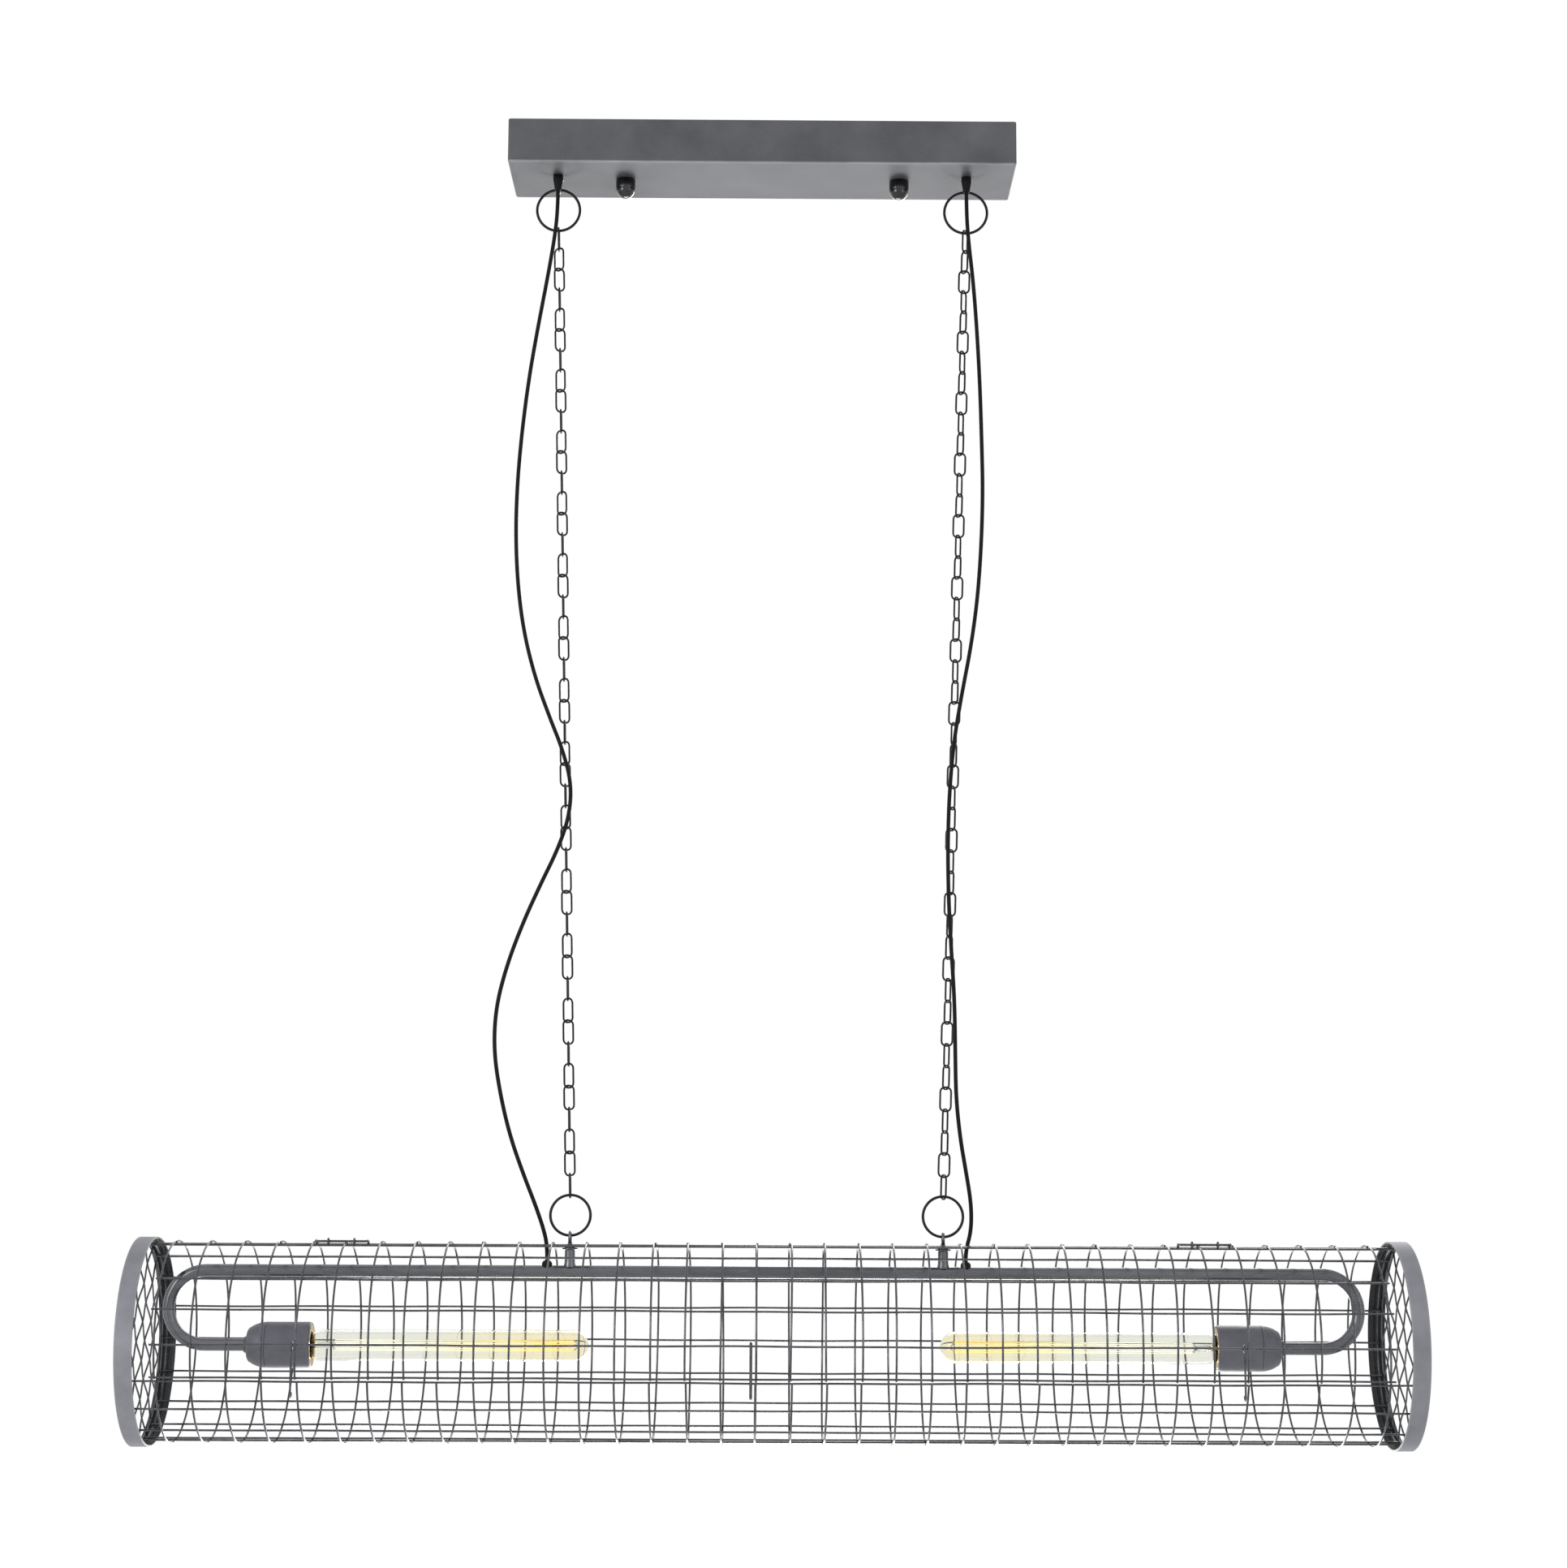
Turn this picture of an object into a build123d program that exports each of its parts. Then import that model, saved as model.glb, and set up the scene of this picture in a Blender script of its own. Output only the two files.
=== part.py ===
"""Cage pendant light, in millimetres.

A wire cage with two lampholders on a bent tube hangs from a ceiling box on two chains. The origin is on the
ceiling above the middle of the box, X runs along the lamp, Y away from the viewer and Z up.
"""

import os
from math import asin, cos, pi, radians, sin, tan

from build123d import *

os.makedirs("parts", exist_ok=True)

# Clearances
fit_gap = 0.05
running_gap = 0.2
turning_gap = 0.3

# Ceiling box, its bracket and studs
canopy_length = 515.0
canopy_width = 100.0
canopy_height = 45.0
canopy_corner = 3.0
sheet = 1.2
bracket_length = 330.0
bracket_width = 25.0
bracket_thickness = 2.5
screw_spacing = 120.0
screw_hole_r = 2.6
stud_spacing = 281.0
stud_r = 2.5
stud_flange_r = 5.0
stud_flange_t = 1.5
stud_reach = 12.0
cap_nut_r = 10.0
cap_nut_collar = 10.0
cap_nut_height = 19.5

# Wiring in the box
block_length = 34.0
block_width = 17.0
block_height = 12.0
block_poles = 3
block_gap = 2.4
block_screw_r = 2.0
block_screw_sides = 8
earth_x = 100.0
earth_screw_r = 2.0
earth_head_r = 4.0
earth_head_t = 2.4
lead_r = 1.8

# Loops, rings and chains
hang_spacing = 418.0
eye_bore_r = 3.5
eye_wall = 3.0
eye_thickness = 3.0
loop_drop = 9.2
shank_r = 2.0
loop_nut_flats = 7.0
lock_nut_t = 3.0
ring_wire_r = 1.4
upper_ring_r = 21.9
lower_ring_r = 19.5
ring_steps = 24
wire_sides = 8
eye_sides = 12
link_count = 46
link_wire = 2.0
link_inner = 21.6
link_width = 12.6
link_corner = 3.0
link_twist = 60.0

# Cords and their grips
cord_r = 2.0
cord_sides = 6
grip_y = -12.0
grip_stem_r = 3.5
grip_flange_r = 5.0
grip_flange_t = 6.0
grip_bell_length = 10.0
grip_mouth_r = 3.4
grip_nut_flats = 10.0
grommet_x = 203.5
grommet_r = 5.0
grommet_height = 5.0
grommet_round = 3.0
grommet_neck_r = 2.95

# Tube and posts
post_pitches = 5.5
post_eye_rise = 101.0
post_r = 5.0
post_foot_r = 5.8
post_foot_height = 6.0
post_flange_r = 7.5
post_flange_t = 2.0
saddle_length = 36.0
saddle_width = 16.0
saddle_t = 2.0
tube_r = 6.0
tube_wall = 1.0
tube_sides = 12
tube_rise = 68.0
tube_bend_r = 35.5
tube_span = 1083.0
tube_offset = 8.0
tube_tail = 42.0

# Lampholders and bulbs, along their own axis from the tube to the mouth
holder_length = 67.0
holder_r = 22.0
holder_wall = 2.2
holder_boss_r = 9.0
holder_boss_length = 5.0
holder_cap_length = 24.0
holder_shoulder = 13.0
holder_rim = 3.0
insert_t = 9.0
contact_r = 3.5
contact_t = 2.0
shell_r = 13.8
shell_wall = 0.7
shell_flange_t = 1.2
bulb_length = 299.0
bulb_r = 15.0
bulb_wall = 0.8
bulb_neck_r = 12.0
bulb_flare = 7.0
bulb_cap_length = 25.0
bulb_cap_cone = 4.0
bulb_cap_wall = 0.5
neck_lap = 5.0
stem_r = 3.0
stem_length = 30.0
stem_foot = 2.0
stem_cone = 3.0
filament_r = 0.6
filament_spread = 5.0

# Wire cage
wire = 2.0
line_count = 18
ring_pitch = 33.0
rings_left = 17
rings_right = 18
rim_gap = 19.5
band_r = 100.0
band_t = 2.0
band_width = 17.0
grille_wire = 1.8
grille_t = 1.8
grille_diagonal = 37.0
grille_inset = 3.0
door_edge = 2.0
body_top_edge = 6.0
door_top_edge = 1.0
door_overhang = 6.0

# Door hinges and latches
hinge_rod_r = 1.2
hinge_eye_wall = 2.0
hinge_eye_t = 2.2
hinge_length = 50.0
hinge_pitch = 12.65
latch_wire_r = 1.0
latch_strip_r = 1.4
latch_drop = 46.0
latch_hook = 5.0
latch_pitch = 13.5
latch_side = 4.5

# Worked out
sides = {"left": -1, "right": 1}
floor_z = -canopy_height
floor_in = floor_z + sheet
bracket_under = -bracket_thickness
hang_x = hang_spacing / 2
post_x = post_pitches * ring_pitch
eye_r = eye_bore_r + eye_wall
eye_slack = eye_bore_r - ring_wire_r - running_gap
loop_z = floor_z - loop_drop
upper_ring_z = loop_z - eye_slack - upper_ring_r
chain_span = (
    upper_ring_r + lower_ring_r - 2 * ring_wire_r + link_count * link_inner - (link_count + 1) * running_gap
)
chain_lean = asin((hang_x - post_x) / chain_span)
lower_ring_z = upper_ring_z - chain_span * cos(chain_lean)
post_eye_z = lower_ring_z - lower_ring_r - eye_slack
cage_z = post_eye_z - post_eye_rise
grip_end_z = floor_z - grip_flange_t - grip_bell_length
tube_top_z = cage_z + tube_rise
holder_z = tube_top_z - 2 * tube_bend_r
grommet_top_z = tube_top_z + tube_r + grommet_height

step = 360 / line_count
half_step = step / 2
band_in_r = band_r - band_t
wire_out = (band_in_r - fit_gap) * cos(radians(half_step))
wire_in = wire_out - wire
ring_places = [ring_pitch * k for k in range(-rings_left, rings_right + 1)]
cage_middle = ring_pitch * (rings_right - rings_left) / 2
cage_half = (ring_places[-1] - ring_places[0]) / 2 + rim_gap + band_width
front_flat = half_step + 5 * step
top_flat = half_step


def keep(piece, name):
    """Label a finished piece and write its STEP file."""
    piece.part.label = name
    export_step(piece.part, f"parts/{name}.step")


def flat_point(flat, along, reach):
    """Y and Z on one flat of the cage, given by its angle from the top and the way along from its middle."""
    a = radians(flat)
    return (-reach * sin(a) - along * cos(a), cage_z + reach * cos(a) - along * sin(a))


def ring_edge(first, last, reach):
    """Corner points of a cage ring from one (flat, along) place round to another, at a given reach."""
    corner_reach = reach / cos(radians(half_step))
    corners = []
    corner = first[0] + half_step
    while corner < last[0]:
        corners.append(flat_point(corner, 0, corner_reach))
        corner += step
    return [flat_point(*first, reach), *corners, flat_point(*last, reach)]


def holder_plane(side):
    """Plane whose X runs along a lampholder's axis from the tube's end to its mouth."""
    reach = tube_span / 2 - tube_tail + holder_boss_length
    inward = -sides[side]
    return Plane(
        origin=(tube_offset + sides[side] * reach, 0, holder_z), x_dir=(inward, 0, 0), z_dir=(0, -inward, 0)
    )


def dome(start, length, radius, tip_r=0.0, steps=3):
    """Profile of a rounded end, as (along, radius) in straight steps from the full radius down to the tip."""
    turns = [radians(90 * k / steps) for k in range(steps)]
    curve = [(start + length * sin(a), tip_r + (radius - tip_r) * cos(a)) for a in turns]
    return [*curve, (start + length, tip_r)]


def turned(names, *points):
    """Closed outline of (along, radius) points, turned about the lampholder's axis on each named side."""
    with BuildPart() as pieces:
        for side in names:
            plane = holder_plane(side)
            with BuildSketch(plane):
                with BuildLine():
                    Polyline(*points, close=True)
                make_face()
            revolve(axis=Axis(plane.origin, plane.x_dir))
    return pieces


def upright(places, *points):
    """Closed outline of (height, radius) points, turned about an upright axis at each (x, y) place."""
    with BuildPart() as pieces:
        for x, y in places:
            with BuildSketch(Plane.XZ.offset(-y)):
                with BuildLine():
                    Polyline(*[(x + r, z) for z, r in points], close=True)
                make_face()
            revolve(axis=Axis((x, y, 0), (0, 0, 1)))
    return pieces


# Ceiling box: a folded sheet tray, open on top
with BuildPart() as canopy_box:
    with BuildSketch(Plane.XY.offset(floor_z)):
        RectangleRounded(canopy_length, canopy_width, canopy_corner)
    extrude(amount=canopy_height)
    offset(amount=-sheet, openings=canopy_box.faces().sort_by(Axis.Z)[-1])
    with Locations((-stud_spacing / 2, 0), (stud_spacing / 2, 0)):
        Hole(stud_r + turning_gap)
    with Locations((-hang_x, 0), (hang_x, 0)):
        Hole(shank_r + fit_gap)
    with Locations((-hang_x, grip_y), (hang_x, grip_y)):
        Hole(grip_stem_r + fit_gap)
keep(canopy_box, "canopy_box")

# Ceiling bracket: a flat bar with screw holes, stud holes and an earth hole
with BuildPart() as ceiling_bracket:
    with BuildSketch(Plane.XY.offset(bracket_under)):
        RectangleRounded(bracket_length, bracket_width, bracket_width / 4)
    extrude(amount=bracket_thickness)
    with GridLocations(screw_spacing, 1, 2, 1):
        Hole(screw_hole_r)
    with GridLocations(stud_spacing, 1, 2, 1):
        Hole(stud_r + fit_gap)
    with Locations((earth_x, 0)):
        Hole(earth_screw_r + fit_gap)
keep(ceiling_bracket, "ceiling_bracket")

stud_end_z = floor_z - stud_reach
with BuildPart() as bracket_studs:
    with GridLocations(stud_spacing, 1, 2, 1):
        with Locations((0, 0, stud_end_z)):
            Cylinder(stud_r, -stud_end_z, align=(Align.CENTER, Align.CENTER, Align.MIN))
        with Locations((0, 0, bracket_under)):
            Cylinder(stud_flange_r, stud_flange_t, align=(Align.CENTER, Align.CENTER, Align.MAX))
keep(bracket_studs, "bracket_studs")

# Domed cap nuts under the box, each with a blind bore for its stud
nut_bore_r = stud_r + turning_gap
nut_inside_z = stud_end_z - turning_gap
nut_dome = dome(cap_nut_collar, cap_nut_height - cap_nut_collar, cap_nut_r)
for side, sign in sides.items():
    cap_nut = upright(
        [(sign * stud_spacing / 2, 0)],
        (nut_inside_z, 0),
        (nut_inside_z, nut_bore_r),
        (floor_z, nut_bore_r),
        (floor_z, cap_nut_r),
        *[(floor_z - way, r) for way, r in nut_dome],
    )
    keep(cap_nut, f"cap_nut_{side}")

# Hanging loops with a shank through the box floor, and their lock nuts inside
shank_z = loop_z + eye_bore_r + eye_wall / 2
with BuildPart() as hanging_loops:
    with BuildSketch(Plane.YZ.offset(-hang_x), Plane.YZ.offset(hang_x)):
        with Locations((0, loop_z)):
            Circle(eye_r)
            Circle(eye_bore_r, mode=Mode.SUBTRACT)
    extrude(amount=eye_thickness / 2, both=True)
    with Locations((-hang_x, 0, shank_z), (hang_x, 0, shank_z)):
        Cylinder(shank_r, floor_in + lock_nut_t - shank_z, align=(Align.CENTER, Align.CENTER, Align.MIN))
keep(hanging_loops, "hanging_loops")

with BuildPart() as loop_nuts:
    with BuildSketch(Plane.XY.offset(floor_in)):
        with GridLocations(hang_spacing, 1, 2, 1):
            RegularPolygon(loop_nut_flats / 2, 6, major_radius=False)
            Circle(shank_r + fit_gap, mode=Mode.SUBTRACT)
    extrude(amount=lock_nut_t)
keep(loop_nuts, "loop_nuts")

# Cord grips: a stem through the box floor, a flange below it and a bell that narrows to the cord
grip_places = [(-hang_x, grip_y), (hang_x, grip_y)]
grip_top_z = floor_in + lock_nut_t
grip_flange_z = floor_z - grip_flange_t
cord_grips = upright(
    grip_places,
    (grip_top_z, lead_r + fit_gap),
    (grip_top_z, grip_stem_r),
    (floor_z, grip_stem_r),
    (floor_z, grip_flange_r),
    (grip_flange_z, grip_flange_r),
    (grip_end_z, grip_mouth_r),
    (grip_end_z, lead_r + fit_gap),
)
keep(cord_grips, "cord_grips")

with BuildPart() as grip_nuts:
    with BuildSketch(Plane.XY.offset(floor_in)):
        with Locations(*grip_places):
            RegularPolygon(grip_nut_flats / 2, 6, major_radius=False)
            Circle(grip_stem_r + fit_gap, mode=Mode.SUBTRACT)
    extrude(amount=lock_nut_t)
keep(grip_nuts, "grip_nuts")

# Terminal block on the box floor: a row of pillars on a base, with wire openings and a screw in each end
pole_pitch = block_length / block_poles
pole_reach = block_width / 4
block_top_z = floor_in + block_height
bore_z = floor_in + block_height / 3
bore_width = 2 * (lead_r + fit_gap)
screw_pocket = block_height / 3
on_base = (Align.CENTER, Align.CENTER, Align.MIN)
with BuildPart() as terminal_block:
    with Locations((0, 0, floor_in)):
        Box(block_length, block_width, block_height / 2, align=on_base)
    with Locations((0, 0, floor_in + block_height / 2)):
        with GridLocations(pole_pitch, 1, block_poles, 1):
            Box(pole_pitch - block_gap, block_width, block_height / 2, align=on_base)
    with BuildSketch(Plane.XY.offset(block_top_z)):
        with GridLocations(pole_pitch, 2 * pole_reach, block_poles, 2):
            RegularPolygon(block_screw_r + fit_gap, block_screw_sides)
    extrude(amount=-screw_pocket, mode=Mode.SUBTRACT)
    with Locations((0, 0, bore_z)):
        with GridLocations(pole_pitch, 1, block_poles, 1):
            Box(bore_width, block_width, bore_width, mode=Mode.SUBTRACT)
keep(terminal_block, "terminal_block")

with BuildPart() as terminal_screws:
    with BuildSketch(Plane.XY.offset(block_top_z - screw_pocket)):
        with GridLocations(pole_pitch, 2 * pole_reach, block_poles, 2):
            RegularPolygon(block_screw_r, block_screw_sides)
    extrude(amount=block_height / 4)
keep(terminal_screws, "terminal_screws")

with BuildPart() as earth_screw:
    with Locations((earth_x, 0, bracket_under)):
        Cylinder(earth_head_r, earth_head_t, align=(Align.CENTER, Align.CENTER, Align.MAX))
        Cylinder(earth_screw_r, bracket_thickness, align=(Align.CENTER, Align.CENTER, Align.MIN))
keep(earth_screw, "earth_screw")

# Leads in the box, from the terminal block to the bottom of each cord grip
lead_bend_r = 6 * lead_r
lead_run_y = -block_width / 2 - 2 * lead_bend_r
for side, sign in sides.items():
    pole_x = sign * pole_pitch
    with BuildPart() as box_lead:
        with BuildLine() as path:
            FilletPolyline(
                (sign * hang_x, grip_y, grip_end_z),
                (sign * hang_x, grip_y, bore_z + 2 * lead_bend_r),
                (sign * (hang_x - 3 * lead_bend_r), lead_run_y, bore_z),
                (pole_x, lead_run_y, bore_z),
                (pole_x, -block_width / 2 + block_screw_r, bore_z),
                radius=lead_bend_r,
            )
        with BuildSketch(Plane(origin=path.line @ 0, z_dir=path.line % 0)):
            RegularPolygon(lead_r, cord_sides)
        sweep()
    keep(box_lead, f"box_lead_{side}")


def hanging_ring(x, z, ring_r, name):
    """Wire ring that hangs in the X-Z plane, bent in equal straight steps with one at its lowest point."""
    corner_r = ring_r / cos(pi / ring_steps)
    turns = [2 * pi * (k + 0.5) / ring_steps for k in range(ring_steps)]
    corners = [(x + corner_r * sin(a), z - corner_r * cos(a)) for a in turns]
    with BuildPart() as ring:
        with BuildLine(Plane.XZ) as path:
            Polyline((x, z - ring_r), *corners, (x, z - ring_r))
        with BuildSketch(Plane(origin=path.line @ 0, z_dir=path.line % 0)):
            RegularPolygon(ring_wire_r, wire_sides, rotation=180 / wire_sides)
        sweep(transition=Transition.RIGHT)
    keep(ring, name)


def link_outline(width, length, corner):
    """Corner points of a rectangle with its corners cut off."""
    x, y = width / 2, length / 2
    quarter = [(x, y - corner), (x - corner, y)]
    left = [(-a, b) for a, b in reversed(quarter)]
    return [*quarter, *left, *[(a, -b) for a, b in reversed(left)], *[(a, -b) for a, b in reversed(quarter)]]


def chain(sign, first_twist, name):
    """Taut chain of open links between the rings, each turned by the same twist from the last."""
    up = Vector(sign * sin(chain_lean), 0, cos(chain_lean))
    across = Vector(cos(chain_lean), 0, -sign * sin(chain_lean))
    top = Vector(sign * hang_x, 0, upper_ring_z)
    start = upper_ring_r - ring_wire_r - running_gap + link_inner / 2
    planes = []
    for k in range(link_count):
        turn = radians(first_twist + k * link_twist)
        along = across * cos(turn) + Vector(0, 1, 0) * sin(turn)
        middle = top - up * (start + k * (link_inner - running_gap))
        planes.append(Plane(origin=middle, x_dir=along, z_dir=along.cross(up)))
    inner_corner = link_corner - link_wire * (2 - 2**0.5)
    with BuildPart() as links:
        with BuildSketch(*planes):
            with BuildLine():
                Polyline(*link_outline(link_width, link_inner + 2 * link_wire, link_corner), close=True)
            make_face()
            with BuildLine():
                Polyline(*link_outline(link_width - 2 * link_wire, link_inner, inner_corner), close=True)
            make_face(mode=Mode.SUBTRACT)
        extrude(amount=link_wire / 2, both=True)
    keep(links, name)


first_twists = {"left": 90.0, "right": 60.0}
for side, sign in sides.items():
    hanging_ring(sign * hang_x, upper_ring_z, upper_ring_r, f"upper_ring_{side}")
    chain(sign, first_twists[side], f"chain_{side}")
    hanging_ring(sign * post_x, lower_ring_z, lower_ring_r, f"lower_ring_{side}")

# Cord routes, as X, Y and height: out of the grip, down beside the chain and into the tube's grommet
cord_routes = {
    "left": [
        (-hang_x, grip_y, grip_end_z),
        (-hang_x, grip_y, -84),
        (-212, -12, -114),
        (-218.5, -12, -156),
        (-227, -12, -206),
        (-235, -12, -258),
        (-241, -12, -312),
        (-245, -12, -366),
        (-246, -12, -420),
        (-243, -12, -474),
        (-236, -12, -523),
        (-224, -12, -569),
        (-209, -11.5, -609),
        (-195, -11, -643),
        (-186, -11, -677),
        (-188, -11, -710),
        (-199, -11.5, -743),
        (-215, -12, -777),
        (-232, -12, -816),
        (-247, -12, -858),
        (-257, -12, -900),
        (-258, -12, -942),
        (-251, -11, -984),
        (-241, -9, -1024),
        (-228, -6, -1060),
        (-215, -3, -1092),
        (-206, -1, -1118),
        (-grommet_x, 0, -1133),
        (-grommet_x, 0, grommet_top_z),
    ],
    "right": [
        (hang_x, grip_y, grip_end_z),
        (hang_x, grip_y, -84),
        (211, -12, -114),
        (215.5, -12, -156),
        (219, -12, -208),
        (221.6, -12, -264),
        (223, -12, -320),
        (224, -12, -376),
        (222, -12, -432),
        (218, -12, -486),
        (211, -12, -536),
        (202, -12, -582),
        (194, -12, -628),
        (189, -12, -680),
        (187, -12, -734),
        (187.5, -12, -788),
        (190, -12, -840),
        (193, -12, -890),
        (193.5, -12, -940),
        (194, -11, -984),
        (198, -9, -1024),
        (204, -6, -1058),
        (209, -3, -1088),
        (209, -1, -1114),
        (grommet_x, 0, -1133),
        (grommet_x, 0, grommet_top_z),
    ],
}
arc_share = 0.45


def corner_radii(points):
    """Largest bend at each corner of a route that its two runs leave room for."""
    radii = []
    for a, b, c in zip(points, points[1:], points[2:]):
        before, after = Vector(b) - Vector(a), Vector(c) - Vector(b)
        half_turn = radians(before.get_angle(after)) / 2
        radii.append(arc_share * min(before.length, after.length) / tan(half_turn))
    return radii


for side, route in cord_routes.items():
    bends = corner_radii(route)
    with BuildPart() as cord:
        with BuildLine() as path:
            FilletPolyline(*route, radius=bends)
        with BuildSketch(Plane(origin=path.line @ 0, z_dir=path.line % 0)) as section:
            RegularPolygon(cord_r, cord_sides)
        sweep()
    length = path.wires()[0].length
    fill = cord.part.volume / (section.sketch.area * length)
    print(f"cord_{side}: length {length:.0f}, volume over section times length {fill:.4f}")
    print(f"cord_{side}: bends {[round(r) for r in bends]}")
    keep(cord, f"cord_{side}")

# Posts: a flared foot on the tube, a flange for the saddle plate and an eye for the lower ring
saddle_corner = saddle_width / 2 * sin(radians(half_step))
saddle_top_z = cage_z + (wire_in - saddle_corner) / cos(radians(half_step)) - fit_gap
saddle_under_z = saddle_top_z - saddle_t
post_flange_z = saddle_under_z - post_flange_t
post_neck_z = post_eye_z - eye_bore_r - eye_wall / 2
foot_z = tube_top_z + tube_r
post_places = [(-post_x, 0), (post_x, 0)]
with BuildPart() as posts:
    turned_posts = upright(
        post_places,
        (tube_top_z, 0),
        (tube_top_z, post_foot_r),
        (foot_z, post_foot_r),
        (foot_z + post_foot_height, post_r),
        (post_flange_z, post_r),
        (post_flange_z, post_flange_r),
        (saddle_under_z, post_flange_r),
        (saddle_under_z, post_r),
        (saddle_top_z, post_r),
        (saddle_top_z + shank_r, shank_r),
        (post_neck_z, shank_r),
        (post_neck_z, 0),
    )
    add(turned_posts.part)
    with BuildSketch(*[Plane.YZ.offset(x) for x, y in post_places]):
        with Locations((0, post_eye_z)):
            Circle(eye_r)
    extrude(amount=eye_thickness / 2, both=True)
    with Locations(Location((0, 0, post_eye_z), (0, 90, 0))):
        Cylinder(eye_bore_r, 4 * post_x, mode=Mode.SUBTRACT)
    with Locations(Location((0, 0, tube_top_z), (0, 90, 0))):
        Cylinder(tube_r, 4 * post_x, mode=Mode.SUBTRACT)
keep(posts, "posts")

with BuildPart() as saddle_plates:
    with BuildSketch(Plane.XY.offset(saddle_under_z)):
        with Locations(*post_places):
            SlotOverall(saddle_length, saddle_width)
            Circle(post_r + fit_gap, mode=Mode.SUBTRACT)
    extrude(amount=saddle_t)
keep(saddle_plates, "saddle_plates")

# Bent tube: a straight top run with a half-circle bend at each end that turns back to the lampholders
bend_x = tube_span / 2
tail_x = tube_span / 2 - tube_tail
with BuildPart() as tube:
    with BuildLine(Plane.XZ) as path:
        Line((tube_offset - tail_x, holder_z), (tube_offset - bend_x, holder_z))
        TangentArc((tube_offset - bend_x, holder_z), (tube_offset - bend_x, tube_top_z), tangent=(-1, 0))
        Line((tube_offset - bend_x, tube_top_z), (tube_offset + bend_x, tube_top_z))
        TangentArc((tube_offset + bend_x, tube_top_z), (tube_offset + bend_x, holder_z), tangent=(1, 0))
        Line((tube_offset + bend_x, holder_z), (tube_offset + tail_x, holder_z))
    with BuildSketch(Plane(origin=path.line @ 0, z_dir=path.line % 0)):
        RegularPolygon(tube_r, tube_sides)
        RegularPolygon(tube_r - tube_wall, tube_sides, mode=Mode.SUBTRACT)
    sweep()
    with Locations((-grommet_x, 0, tube_top_z), (grommet_x, 0, tube_top_z)):
        Cylinder(
            grommet_neck_r + fit_gap,
            2 * tube_r,
            align=(Align.CENTER, Align.CENTER, Align.MIN),
            mode=Mode.SUBTRACT,
        )
keep(tube, "bent_tube")

# Cord grommets: a rounded collar on the tube and a neck through its wall
grommet_places = [(-grommet_x, 0), (grommet_x, 0)]
neck_z = tube_top_z + tube_r - tube_wall
with BuildPart() as grommets:
    collars = upright(
        grommet_places,
        (tube_top_z, 0),
        (tube_top_z, grommet_r),
        *dome(grommet_top_z - grommet_round, grommet_round, grommet_r, cord_r),
        (grommet_top_z, 0),
    )
    add(collars.part)
    with Locations(Location((0, 0, tube_top_z), (0, 90, 0))):
        Cylinder(tube_r + fit_gap, 4 * grommet_x, mode=Mode.SUBTRACT)
    with Locations(*[(x, y, neck_z) for x, y in grommet_places]):
        Cylinder(grommet_neck_r, 2 * tube_wall, align=on_base)
    with Locations(*[(x, y, tube_top_z) for x, y in grommet_places]):
        Cylinder(lead_r + fit_gap, 6 * grommet_r, mode=Mode.SUBTRACT)
keep(grommets, "grommets")

# Leads in the tube, from each grommet round the bend to the lampholder
lead_turn_r = 2 * lead_r
lead_end_x = tube_span / 2 - tube_tail - 2
with BuildPart() as tube_leads:
    for sign in sides.values():
        start_x = sign * grommet_x
        far_x = tube_offset + sign * bend_x
        with BuildLine(Plane.XZ) as path:
            Line((start_x, grommet_top_z), (start_x, tube_top_z + lead_turn_r))
            turned_x = start_x + sign * lead_turn_r
            TangentArc((start_x, tube_top_z + lead_turn_r), (turned_x, tube_top_z), tangent=(0, -1))
            Line((turned_x, tube_top_z), (far_x, tube_top_z))
            TangentArc((far_x, tube_top_z), (far_x, holder_z), tangent=(sign, 0))
            Line((far_x, holder_z), (tube_offset + sign * lead_end_x, holder_z))
        with BuildSketch(Plane(origin=path.line @ 0, z_dir=path.line % 0)):
            RegularPolygon(lead_r, cord_sides)
        sweep()
keep(tube_leads, "tube_leads")

# Lampholders: cap, skirt, insert, screw shell and contact, then the bulb that screws in
skirt_in_r = holder_r - holder_wall
insert_back = holder_cap_length
insert_front = insert_back + insert_t
contact_front = insert_front + contact_t
bulb_back = contact_front + turning_gap
shell_in_r = shell_r - shell_wall
bulb_cap_r = shell_in_r - turning_gap
bulb_cap_front = bulb_back + bulb_cap_length
bulb_tip = bulb_back + bulb_length
shoulder_front = holder_boss_length + holder_shoulder
shoulder = [(shoulder_front - way, r) for way, r in dome(0, holder_shoulder, holder_r, holder_boss_r)]
holder_caps = turned(
    sides,
    (0, tube_r + fit_gap),
    (0, holder_boss_r),
    *reversed(shoulder),
    (holder_cap_length, holder_r),
    (holder_cap_length, skirt_in_r),
    (shoulder_front, skirt_in_r),
    (holder_boss_length + holder_wall, tube_r + fit_gap),
)
keep(holder_caps, "holder_caps")

holder_skirts = turned(
    sides,
    (holder_cap_length, skirt_in_r),
    (holder_cap_length, holder_r),
    (holder_length - holder_rim, holder_r),
    (holder_length, holder_r - holder_wall / 2),
    (holder_length, skirt_in_r),
)
keep(holder_skirts, "holder_skirts")

holder_inserts = turned(
    sides,
    (insert_back, contact_r / 2),
    (insert_back, skirt_in_r - fit_gap),
    (insert_front, skirt_in_r - fit_gap),
    (insert_front, contact_r / 2),
)
keep(holder_inserts, "holder_inserts")

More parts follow.
